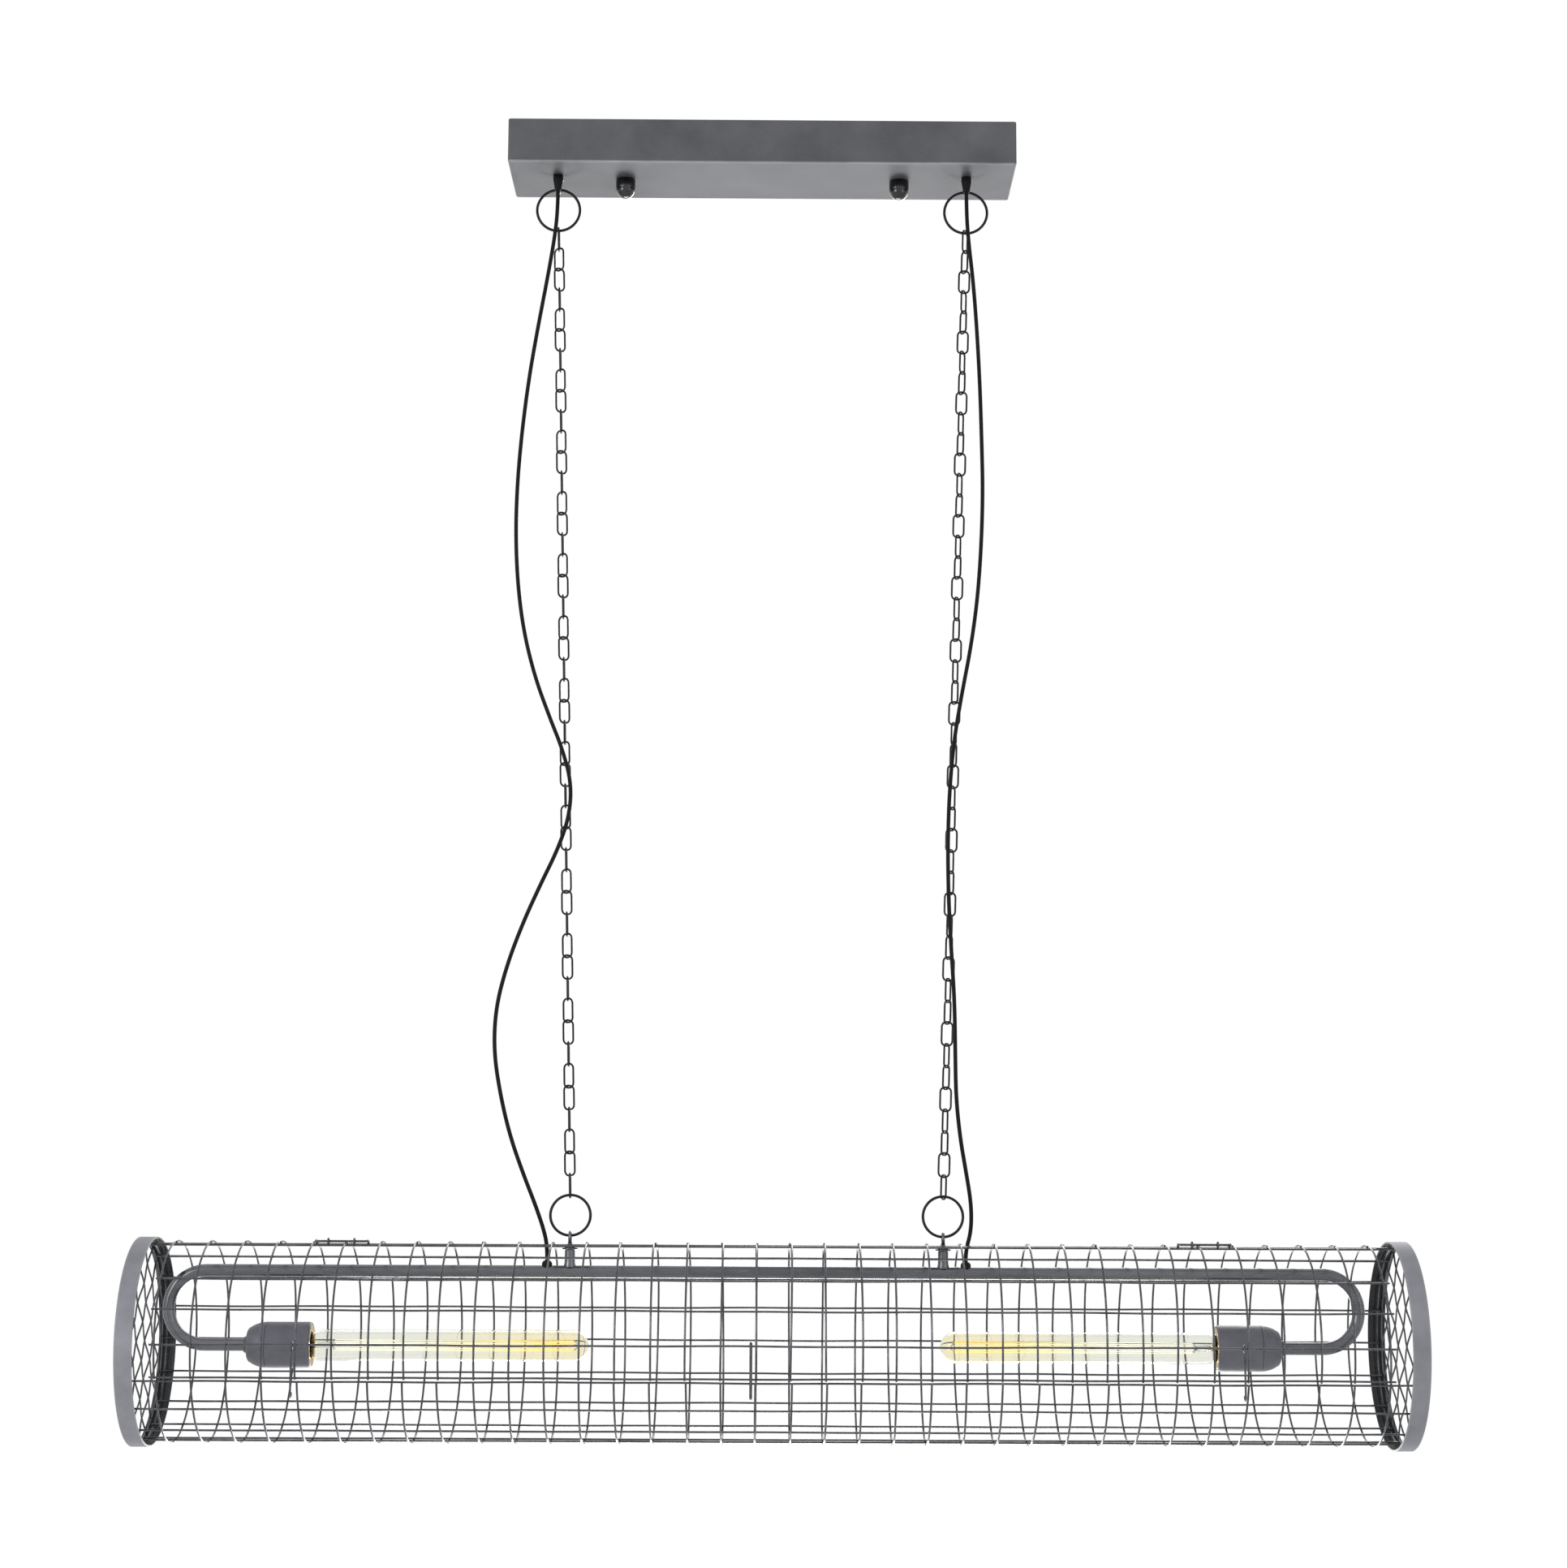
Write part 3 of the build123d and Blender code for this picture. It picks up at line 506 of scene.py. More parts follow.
# Powder-coated sheet steel of the ceiling box: an even gunmetal skin with a faint orange peel, a sheen that varies in
# clouds, and large colour clouds that are painted reflections
BOX_COAT = Finish(
    "gunmetal_powder_coat", "#4e4f53", "#656669", "#7b7c80", metallic=0.35, roughness=(0.36, 0.5),
    mottle_mm=80, fleck_mm=1.6, fleck_share=0.25, depth_mm=0.03, shine=0.3,
)
# Lighter sprayed coat on the end bands: even and dull, with soft clouds
BAND_COAT = Finish(
    "grey_band_coat", "#7d7e85", "#95969d", "#a9aab0", metallic=0.2, roughness=(0.46, 0.6),
    mottle_mm=45, fleck_mm=1.6, fleck_share=0.25, depth_mm=0.03, shine=0.3,
)
# Painted shade inside the bands: the same coat, nearly black where shade falls inside them
BAND_INSIDE_SHADE = Finish(
    "painted_shade_band_inside", "#232426", "#323336", "#4c4d50", metallic=0.3, roughness=(0.45, 0.6),
    mottle_mm=30, fleck_mm=2.0, depth_mm=0.04,
)
# Black-oxide steel tube: dark grey with a soft shine, drawn along its length
OXIDE_STEEL = Finish(
    "black_oxide_tube", "#525356", "#76777b", "#a0a1a6", metallic=0.85, roughness=(0.16, 0.3),
    mottle_mm=25, fleck_mm=1.2, depth_mm=0.015, grain=Grain.ALONG_X,
)
# Drawn and blackened steel wire: dark grey in cloudy tones, with pale specks painted as glints
CAGE_WIRE = Finish(
    "blackened_cage_wire", "#3c3d40", "#5e5f63", "#a3a4a8", metallic=0.8, roughness=(0.18, 0.34),
    mottle_mm=14, fleck_mm=1.2, fleck_share=0.5,
)
# Chain and ring wire: darker, oiled, with rubbed spots
CHAIN_WIRE = Finish(
    "oiled_chain_wire", "#1c1d1f", "#2f3033", "#66676b", metallic=0.85, roughness=(0.28, 0.45),
    mottle_mm=9, fleck_mm=1.0, fleck_share=0.4,
)
# Nickel-plated loops: bright with slight clouds
NICKEL = Finish(
    "nickel_plate", "#8b8b8a", "#b4b4b2", "#6a6a69", metallic=1.0, roughness=(0.16, 0.3),
    mottle_mm=6, fleck_mm=0.9, depth_mm=0.01,
)
# Black nickel cap nuts: nearly black and shiny
BLACK_NICKEL = Finish(
    "black_nickel", "#1d1d1f", "#333335", "#6c6c6e", metallic=1.0, roughness=(0.1, 0.2),
    mottle_mm=8, fleck_mm=1.0, depth_mm=0.01, coat=0.7,
)
# Phenolic lampholder: slate grey moulding with a dull skin and fine filler specks
PHENOLIC = Finish(
    "slate_phenolic", "#55565e", "#666770", "#7d7e87", roughness=(0.36, 0.52),
    mottle_mm=18, fleck_mm=0.9,
)
# Soft PVC cord and grips: black and nearly without shine, with the slight grain of an extrusion
BLACK_PVC = Finish(
    "black_pvc", "#0f0f10", "#191919", "#2a2a2b", roughness=(0.42, 0.58),
    mottle_mm=12, fleck_mm=0.8, shine=0.12,
)
# Glazed porcelain of the terminal block and the lampholders' inserts: off-white and glossy
CERAMIC = Finish(
    "glazed_ceramic", "#dcd8cd", "#e9e5db", "#c9c4b7", roughness=(0.12, 0.22),
    mottle_mm=12, fleck_mm=1.5, fleck_share=0.15, depth_mm=0.01, coat=0.4,
)
# Spun brass of shells, screws and caps: warm yellow with slight tarnish
BRASS = Finish(
    "spun_brass", "#96743a", "#b9964f", "#6f5527", metallic=1.0, roughness=(0.22, 0.36),
    mottle_mm=7, fleck_mm=0.9, depth_mm=0.012,
)
# Zinc-plated bracket and nuts: pale grey and half matt
ZINC = Finish(
    "zinc_plate", "#8d9093", "#a8abad", "#74777a", metallic=0.9, roughness=(0.26, 0.42),
    mottle_mm=10, fleck_mm=1.2, depth_mm=0.015,
)


@dataclass(frozen=True)
class BulbLook(Look):
    """A look that changes along a bulb, from its tip near the lamp's middle to its foot in the lampholder."""

    middle_mm: float = HOLDER_MIDDLE
    tip_mm: float = 215.0
    foot_mm: float = 330.0

    def foot_share(self, add: AddNode, where: Socket) -> Socket:
        """Add nodes that rise from 0 at the tip to 1 at the foot, with the distance along X from the lamp's middle.

        Args:
            add: adds a node to the material.
            where: object coordinates.

        Returns:
            The share's socket.
        """
        along = add("ShaderNodeSeparateXYZ", Vector=where)["X"]
        off = add("ShaderNodeMath", {"operation": "SUBTRACT"}, _0=along, _1=self.middle_mm * MM)[0]
        out = add("ShaderNodeMath", {"operation": "ABSOLUTE"}, _0=off)[0]
        return add("ShaderNodeMapRange", Value=out, From_Min=self.tip_mm * MM, From_Max=self.foot_mm * MM)["Result"]


@dataclass(frozen=True)
class BulbGlass(BulbLook):
    """Thin drawn soda-lime glass with a fired lustre: clear and faintly green at the cap, straw yellow at the tip."""

    name: str = "lustred_bulb_glass"
    foot: str = "#f3f4ee"
    tip: str = "#f9f5e1"
    wave_mm: float = 40.0
    depth_mm: float = 0.05

    def shader(self, add: AddNode, where: Socket) -> Socket:
        """Add the tint along the bulb and the slow waves of drawn glass.

        Args:
            add: adds a node to the material.
            where: object coordinates.

        Returns:
            The shader's socket.
        """
        share = self.foot_share(add, where)
        tint = add("ShaderNodeMix", COLOURS, _0=share, _6=linear(self.tip), _7=linear(self.foot))[2]
        waves = add("ShaderNodeTexNoise", Vector=where, Scale=METRE_MM / self.wave_mm, Detail=1.0)["Fac"]
        bump = add("ShaderNodeBump", Height=waves, Strength=0.15, Distance=self.depth_mm * MM)["Normal"]
        return add(
            "ShaderNodeBsdfPrincipled", Base_Color=tint, Roughness=0.02, IOR=1.46, Transmission_Weight=1.0, Normal=bump
        )["BSDF"]


@dataclass(frozen=True)
class Glow(BulbLook):
    """Glowing carbon filament: golden in brighter and darker patches at the bulb's tip, pale straw at its foot."""

    name: str = "glowing_filament"
    hot: str = "#ffe884"
    warm: str = "#f6c544"
    straw: str = "#f2eed6"
    patch_mm: float = 15.0
    strength: float = 0.9

    def shader(self, add: AddNode, where: Socket) -> Socket:
        """Add the patches of gold, the straw colour towards the foot, and the light that they give.

        Args:
            add: adds a node to the material.
            where: object coordinates.

        Returns:
            The shader's socket.
        """
        patches = add("ShaderNodeTexNoise", Vector=where, Scale=METRE_MM / self.patch_mm)["Fac"]
        gold = add("ShaderNodeMix", COLOURS, _0=patches, _6=linear(self.warm), _7=linear(self.hot))[2]
        share = self.foot_share(add, where)
        colour = add("ShaderNodeMix", COLOURS, _0=share, _6=gold, _7=linear(self.straw))[2]
        light = {"Emission_Color": colour, "Emission_Strength": self.strength}
        return add("ShaderNodeBsdfPrincipled", Base_Color=colour, Roughness=0.5, **light)["BSDF"]


def seen_white(add: AddNode) -> Socket:
    """Add nodes that give 1 on rays from the camera, off shiny surfaces and through glass, and 0 on others.

    Args:
        add: adds a node to a material or to the world.

    Returns:
        The value's socket.
    """
    rays = add("ShaderNodeLightPath")
    both = add("ShaderNodeMath", MAXIMUM, _0=rays["Is Camera Ray"], _1=rays["Is Glossy Ray"])[0]
    return add("ShaderNodeMath", MAXIMUM, _0=both, _1=rays["Is Transmission Ray"])[0]


@dataclass(frozen=True)
class FloorPaint(Look):
    """Matt pale floor paint that keeps the shadow under the lamp and fades to white further out, in metres."""

    name: str = "pale_floor"
    low: str = "#f6f6f5"
    high: str = "#fafafa"
    clouds_per_metre: float = 0.6
    fade_from: float = 2.6
    fade_to: float = 5.0
    least_white: float = 0.5

    def shader(self, add: AddNode, where: Socket) -> Socket:
        """Add the faint clouds, and the white that rises with the distance from the lamp.

        Args:
            add: adds a node to the material.
            where: object coordinates.

        Returns:
            The shader's socket.
        """
        cloud = add("ShaderNodeTexNoise", Vector=where, Scale=self.clouds_per_metre, Detail=1.0)["Fac"]
        colour = add("ShaderNodeMix", COLOURS, _0=cloud, _6=linear(self.low), _7=linear(self.high))[2]
        matt = add("ShaderNodeBsdfDiffuse", Color=colour)[0]
        white = add("ShaderNodeEmission", Color=(1, 1, 1, 1), Strength=1.0)[0]
        reach = add("ShaderNodeVectorMath", {"operation": "LENGTH"}, _0=where)["Value"]
        ends = {"From_Min": self.fade_from, "From_Max": self.fade_to, "To_Min": self.least_white}
        fade = add("ShaderNodeMapRange", Value=reach, **ends)["Result"]
        share = add("ShaderNodeMath", MULTIPLY, _0=fade, _1=seen_white(add))[0]
        return add("ShaderNodeMixShader", _0=share, _1=matt, _2=white)[0]


# Sub-assemblies


@dataclass
class CeilingBox:
    """Folded sheet box on the ceiling with its cap nuts, hanging loops and cord grips."""

    length: float = 515.0
    width: float = 100.0
    height: float = 45.0
    corner: float = 3.0
    least_corner: float = 0.2
    corner_steps: int = 8
    fold: float = 1.6
    sheet: float = 1.2
    rim_ease: float = 0.3
    inner_fold: float = 1.0
    floor_inset: float = 6.0
    nut_x: float = 140.5
    grip_y: float = -12.0
    loop_z: float = -54.2

    def outline(self, inset: float) -> Array:
        """Rounded rectangle seen from above, moved in by an inset, as rows of X and Y."""
        r = max(self.corner - inset, self.least_corner)
        return round_rectangle(self.length / 2 - inset - r, self.width / 2 - inset - r, r, self.corner_steps)

    def shell(self) -> None:
        """Build the box: the outline carried from the floor out, round the fold, up, over the rim and down inside.

        A profile row is the outline's inset and its height. The fold has a painted highlight, strongest at its middle.
        """
        under, over = -self.height, self.sheet - self.height
        fold = arc((self.fold, self.fold - self.height), self.fold, 270, 180, 6)
        rim = [(0.0, -self.rim_ease), (self.rim_ease, 0.0), (self.sheet - self.rim_ease, 0.0), (self.sheet, 0.0)]
        inner = [(self.sheet, over + self.inner_fold), (self.sheet + self.inner_fold, over)]
        profile = [(self.floor_inset, under), *fold.tolist(), *rim, *inner, (self.floor_inset, over)]
        rows = [np.c_[self.outline(inset), np.full(4 * self.corner_steps, z)] for inset, z in profile]
        # Painted highlight along the fold, strongest at its middle
        worn = np.zeros(len(profile))
        worn[1 : 1 + len(fold)] = np.sin(np.linspace(0, pi, len(fold)))
        grid = Grid(np.stack(rows), capped=True, worn=worn)
        place("ceiling_box", [grid], BOX_COAT, "canopy", "grey_paint", "canopy_box", sharp=30)

    def nuts(self) -> None:
        """Turn the cap nuts: a chamfered, knurled collar under a round dome."""
        collar = [(0.0, 2.9, 0), (0.0, 9.2, 0), (0.8, 10.0, 1), (8.6, 10.0, 1), (9.4, 9.6, 0)]
        dome = arc((10.0, 0.0), 9.5, 90, 0, 12)
        profile = np.concatenate([collar, plain(dome)])
        for side in Side:
            start = (side.value * self.nut_x, 0, -self.height)
            grid = turn(profile, start, DOWN, sides=96, knurl=0.035, ribs=24, capped=True)
            place(f"domed_nut_{side.word}", [grid], BLACK_NICKEL, f"nut_{side.word}", "zinc", f"cap_nut_{side.word}")

    def loops(self) -> None:
        """Bend the hanging loops: a round eye, its shank and a small collar against the box."""
        collar = np.array([(0, 1.9), (0, 4.6), (0.5, 5.0), (1.2, 4.6), (2.2, 2.4), (4.8, 2.0)])
        shank = np.array([(-4.2, 2.0), (0, 2.0)])
        grids = []
        for side in Side:
            x = side.value * HANG_X
            grids.append(wire_ring((x, 0, self.loop_z), *EYE))
            start = (x, 0, -self.height)
            grids += [turn(profile, start, DOWN, sides=32, capped=True) for profile in (collar, shank)]
        place("eye_loops", grids, NICKEL, "canopy", "zinc", "hanging_loops")

    def grips(self) -> None:
        """Turn the cord grips: a ribbed flange and a bell that narrows to the cord."""
        stem = [(-4.2, 2.0, 0), (-4.2, 3.5, 0), (0, 3.5, 0)]
        bell = [(0, 4.7, 0), (0.4, 5.0, 1), (5.4, 5.0, 1), (6, 4.8, 0), (9, 4.3, 0), (12.5, 3.7, 0)]
        lip = plain(arc((15.2, 2.6), 0.8, 90, 0, 5))
        profile = np.concatenate([stem, bell, lip, [(16.0, 2.0, 0)], stem[:1]])
        starts = [(side.value * HANG_X, self.grip_y, -self.height) for side in Side]
        grids = [turn(profile, start, DOWN, sides=72, knurl=0.05, ribs=18) for start in starts]
        place("bell_grips", grids, BLACK_PVC, "canopy", "black_plastic", "cord_grips")

    def build(self) -> None:
        """Build every piece of the ceiling box."""
        self.shell()
        self.nuts()
        self.loops()
        self.grips()


@dataclass
class Hanger:
    """One side's rings, chain and cord between the ceiling box and the lamp."""

    side: Side
    first_twist: float
    cord_points: list[Point]
    upper_z: float = -78.0
    upper_r: float = 21.9
    lower_r: float = 19.5
    ring_wire: float = 1.4
    links: int = 46
    link_wire: float = 1.0
    link_inner: float = 21.6
    link_width: float = 12.6
    link_corner: float = 4.6
    link_twist: float = 60.0
    gap: float = 0.2
    cord_r: float = 2.0
    cord_cuts: tuple[float, ...] = (-81.0, -1072.0, -1116.0)
    cord_bend: float = 180.0

    @property
    def span(self) -> float:
        """Distance between the two ring centres."""
        wires = self.upper_r + self.lower_r - 2 * self.ring_wire
        return wires + self.links * self.link_inner - (self.links + 1) * self.gap

    @property
    def lean(self) -> float:
        """Angle of the chain from upright, in radians."""
        return asin((HANG_X - POST_X) / self.span)

    @property
    def lower_z(self) -> float:
        """Height of the lower ring's centre."""
        return self.upper_z - self.span * cos(self.lean)

    def rings(self) -> None:
        """Bend the two round rings."""
        end = self.side.word
        rows = {
            "upper": (HANG_X, self.upper_z, self.upper_r, "top"),
            "lower": (POST_X, self.lower_z, self.lower_r, "low"),
        }
        for word, (x, z, radius, level) in rows.items():
            centre = (self.side.value * x, 0, z)
            grid = wire_ring(centre, radius, self.ring_wire, steps=96, sides=14, across=ALONG, side=BACK)
            place(f"round_ring_{word}_{end}", [grid], CHAIN_WIRE, f"{level}_ring_{end}", "zinc", f"{word}_ring_{end}")

    def chain(self) -> None:
        """Bend the links, each turned by the same twist from the last, along the leaning line between the rings.

        A link's centre line is a rectangle with round corners, laid across and up along its own two directions.
        """
        sign, end = self.side.value, self.side.word
        up = np.array((sign * sin(self.lean), 0, cos(self.lean)))
        across = np.array((cos(self.lean), 0, -sign * sin(self.lean)))
        top = np.array((sign * HANG_X, 0, self.upper_z))
        start = self.upper_r - self.ring_wire - self.gap + self.link_inner / 2
        x = self.link_width / 2 - self.link_wire - self.link_corner
        y = self.link_inner / 2 + self.link_wire - self.link_corner
        line = round_rectangle(x, y, self.link_corner, steps=5)
        grids = []
        for k in range(self.links):
            angle = radians(self.first_twist + k * self.link_twist)
            along = across * cos(angle) + np.array((0, sin(angle), 0))
            middle = top - up * (start + k * (self.link_inner - self.gap))
            path = middle + line[:, :1] * along + line[:, 1:] * up
            grids.append(carry(path, self.link_wire, np.cross(along, up), sides=8, closed=True))
        place(f"link_chain_{end}", grids, CHAIN_WIRE, f"hanger_{end}", "zinc", f"chain_{end}")

    def cord_line(self) -> Array:
        """Read the cord's smooth line from a NURBS curve with the route's points as its controls.

        Returns:
            Points along the line, in metres.
        """
        curve = bpy.data.curves.new("cord_route", "CURVE")
        curve.dimensions = "3D"
        curve.resolution_u = 10
        spline = curve.splines.new("NURBS")
        spline.points.add(len(self.cord_points) - 1)
        values = np.c_[np.array(self.cord_points) * MM, np.ones(len(self.cord_points))]
        spline.points.foreach_set("co", values.ravel())
        spline.order_u = 3
        spline.use_endpoint_u = True
        holder = bpy.data.objects.new("cord_route", curve)
        line = bpy.data.meshes.new_from_object(holder)
        points = np.empty(len(line.vertices) * 3)
        line.vertices.foreach_get("co", points)
        bpy.data.objects.remove(holder)
        bpy.data.meshes.remove(line)
        bpy.data.curves.remove(curve)
        return points.reshape(-1, 3)

    def cord(self) -> None:
        """Carry the cord's round section along its line, in four lengths cut at three heights.

        The root leaves the grip, the run hangs beside the chain, the bend passes the lower ring, and the foot goes
        into the tube. Neighbours share a ring of points.
        """
        line = self.cord_line()
        word = self.side.word
        tube = carry(line / MM, self.cord_r, BACK, sides=14).points
        cuts = [0, *(int(np.abs(line[:, 2] / MM - z).argmin()) for z in self.cord_cuts), len(line) - 1]
        made = {}
        for k, part in enumerate(("root", "run", "bend", "foot")):
            rows = tube[cuts[k] : cuts[k + 1] + 1]
            piece = make_piece(f"black_cord_{part}_{word}", [Grid(rows, capped=True)], BLACK_PVC)
            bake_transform(piece)
            made[part] = piece
        run = made.pop("run")
        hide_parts(f"cord_{word}")

    def build(self) -> None:
        """Build this side's rings, chain and cord."""
        self.rings()
        self.chain()
        self.cord()


# Each cord's route from its grip to its grommet, as the CAD model has it
LEFT_CORD: list[Point] = [
    (-209, -12, -61), (-209, -12, -84), (-212, -12, -114), (-218.5, -12, -156), (-227, -12, -206), (-235, -12, -258),
    (-241, -12, -312), (-245, -12, -366), (-246, -12, -420), (-243, -12, -474), (-236, -12, -523), (-224, -12, -569),
    (-209, -11.5, -609), (-195, -11, -643), (-186, -11, -677), (-188, -11, -710), (-199, -11.5, -743),
    (-215, -12, -777), (-232, -12, -816), (-247, -12, -858), (-257, -12, -900), (-258, -12, -942), (-251, -11, -984),
    (-241, -9, -1024), (-228, -6, -1060), (-215, -3, -1092), (-206, -1, -1118), (-203.5, 0, -1133),
    (-203.5, 0, -1143.83),
]
RIGHT_CORD: list[Point] = [
    (209, -12, -61), (209, -12, -84), (211, -12, -114), (215.5, -12, -156), (219, -12, -208), (221.6, -12, -264),
    (223, -12, -320), (224, -12, -376), (222, -12, -432), (218, -12, -486), (211, -12, -536), (202, -12, -582),
    (194, -12, -628), (189, -12, -680), (187, -12, -734), (187.5, -12, -788), (190, -12, -840), (193, -12, -890),
    (193.5, -12, -940), (194, -11, -984), (198, -9, -1024), (204, -6, -1058), (209, -3, -1088), (209, -1, -1114),
    (203.5, 0, -1133), (203.5, 0, -1143.83),
]


@dataclass
class Bulb:
    """One tubular bulb along its lampholder's axis: glass, glowing strands, their stays and a glass stem."""

    side: Side
    start: Point
    radius: float = 15.0
    wall: float = 0.8
    back: float = 35.3
    length: float = 299.0
    neck_depth: float = 20.0
    stem_tip: float = 30.0
    # Glowing strands round the axis, with a sway that shifts from one to the next
    strands: int = 6
    first_strand: float = 15.0
    strand_ring: float = 5.0
    strand_r: float = 0.4
    near_gap: float = 34.0
    far_gap: float = 14.0
    sway: float = 0.5
    sway_mm: float = 21.0
    sway_step: float = 1.7
    # Stays and their spine
    far_stay: float = 5.0
    spine_end: float = 6.0
    stay_root: float = 0.4
    stay_r: float = 0.3
    spine_r: float = 0.5

    @property
    def neck(self) -> float:
        """Where the glass starts along the axis."""
        return self.back + self.neck_depth

    @property
    def tip(self) -> float:
        """Where the bulb ends along the axis."""
        return self.back + self.length

    def glass(self) -> None:
        """Turn the glass: a thin double wall from the neck over a round shoulder to a round tip."""
        shoulder = np.array([(self.neck, 12.0), (66, 12.0), (68, 12.6), (70.5, 13.9), (73, 14.8), (76, self.radius)])
        centre = (self.tip - self.radius, 0)
        inner = [arc(centre, self.radius - self.wall, 0, 90, 16), shoulder[::-1] - (0, self.wall)]
        outer = [shoulder, arc(centre, self.radius, 90, 0, 16)]
        walls = self.turned(np.concatenate(inner + outer), sides=64)
        self.add("tubular_glass", [walls], BulbGlass(), "clear_glass", "bulb_glass")

    def filament(self) -> None:
        """Bend the long strands round the axis, and the stays that hold their ends to a spine.

        A strand runs along the axis at a steady distance from it, and sways sideways as a sine of the way along.
        """
        start, inward = np.array(self.start), np.array(self.side.inward, float)
        near, far = self.neck + self.near_gap, self.tip - self.far_gap
        root = self.neck + self.stem_tip
        angle = np.radians(np.arange(self.strands) * 360 / self.strands + self.first_strand)
        along = np.linspace(near, far, 40)
        glow, stays = [], []
        for k, out in enumerate(np.c_[np.zeros(self.strands), np.cos(angle), np.sin(angle)]):
            aside = np.cross(inward, out)
            sway = self.sway * np.sin((along - near) / self.sway_mm + self.sway_step * k)[:, None]
            path = start + along[:, None] * inward + self.strand_ring * out + sway * aside
            glow.append(carry(path, self.strand_r, out, sides=6))
            for end, hold in ((near, root), (far, far + self.far_stay)):
                strand_end = start + end * inward + self.strand_ring * out
                spine_point = start + hold * inward + self.stay_root * out
                stays.append(carry(np.stack([strand_end, spine_point]), self.stay_r, aside, sides=5))
        spine = np.stack([start + root * inward, start + (far + self.spine_end) * inward])
        stays.append(carry(spine, self.spine_r, UP, sides=6))
        self.add("glowing_strands", glow, Glow(), "filament", "filament")
        self.add("strand_stays", stays, NICKEL, "filament")

    def stem(self) -> None:
        """Turn the glass stem: a flare in the neck and a thin rod with a round tip."""
        profile = [(0, 0.0), (0, 11.0), (2, 10.8), (5, 3.4), (28, 3.0), (31, 2.2), (32, 0.0)]
        rod = self.turned(np.array(profile) + (self.neck, 0), sides=32)
        self.add("glass_stem", [rod], BulbGlass(), "clear_glass")

    def turned(self, profile: Array, sides: int) -> Grid:
        """Turn a profile about the bulb's axis."""
        return turn(profile, self.start, self.side.inward, sides)

    def add(self, name: str, grids: list[Grid], look: Look, slot: str, *nodes: str) -> None:
        """Make a piece of this bulb, with its side in the names of the piece, its body and its CAD nodes."""
        word = self.side.word
        place(f"{name}_{word}", grids, look, f"bulb_{word}", slot, *(f"{node}_{word}" for node in nodes))

    def build(self) -> None:
        """Build every piece of the bulb."""
        self.glass()
        self.filament()
        self.stem()


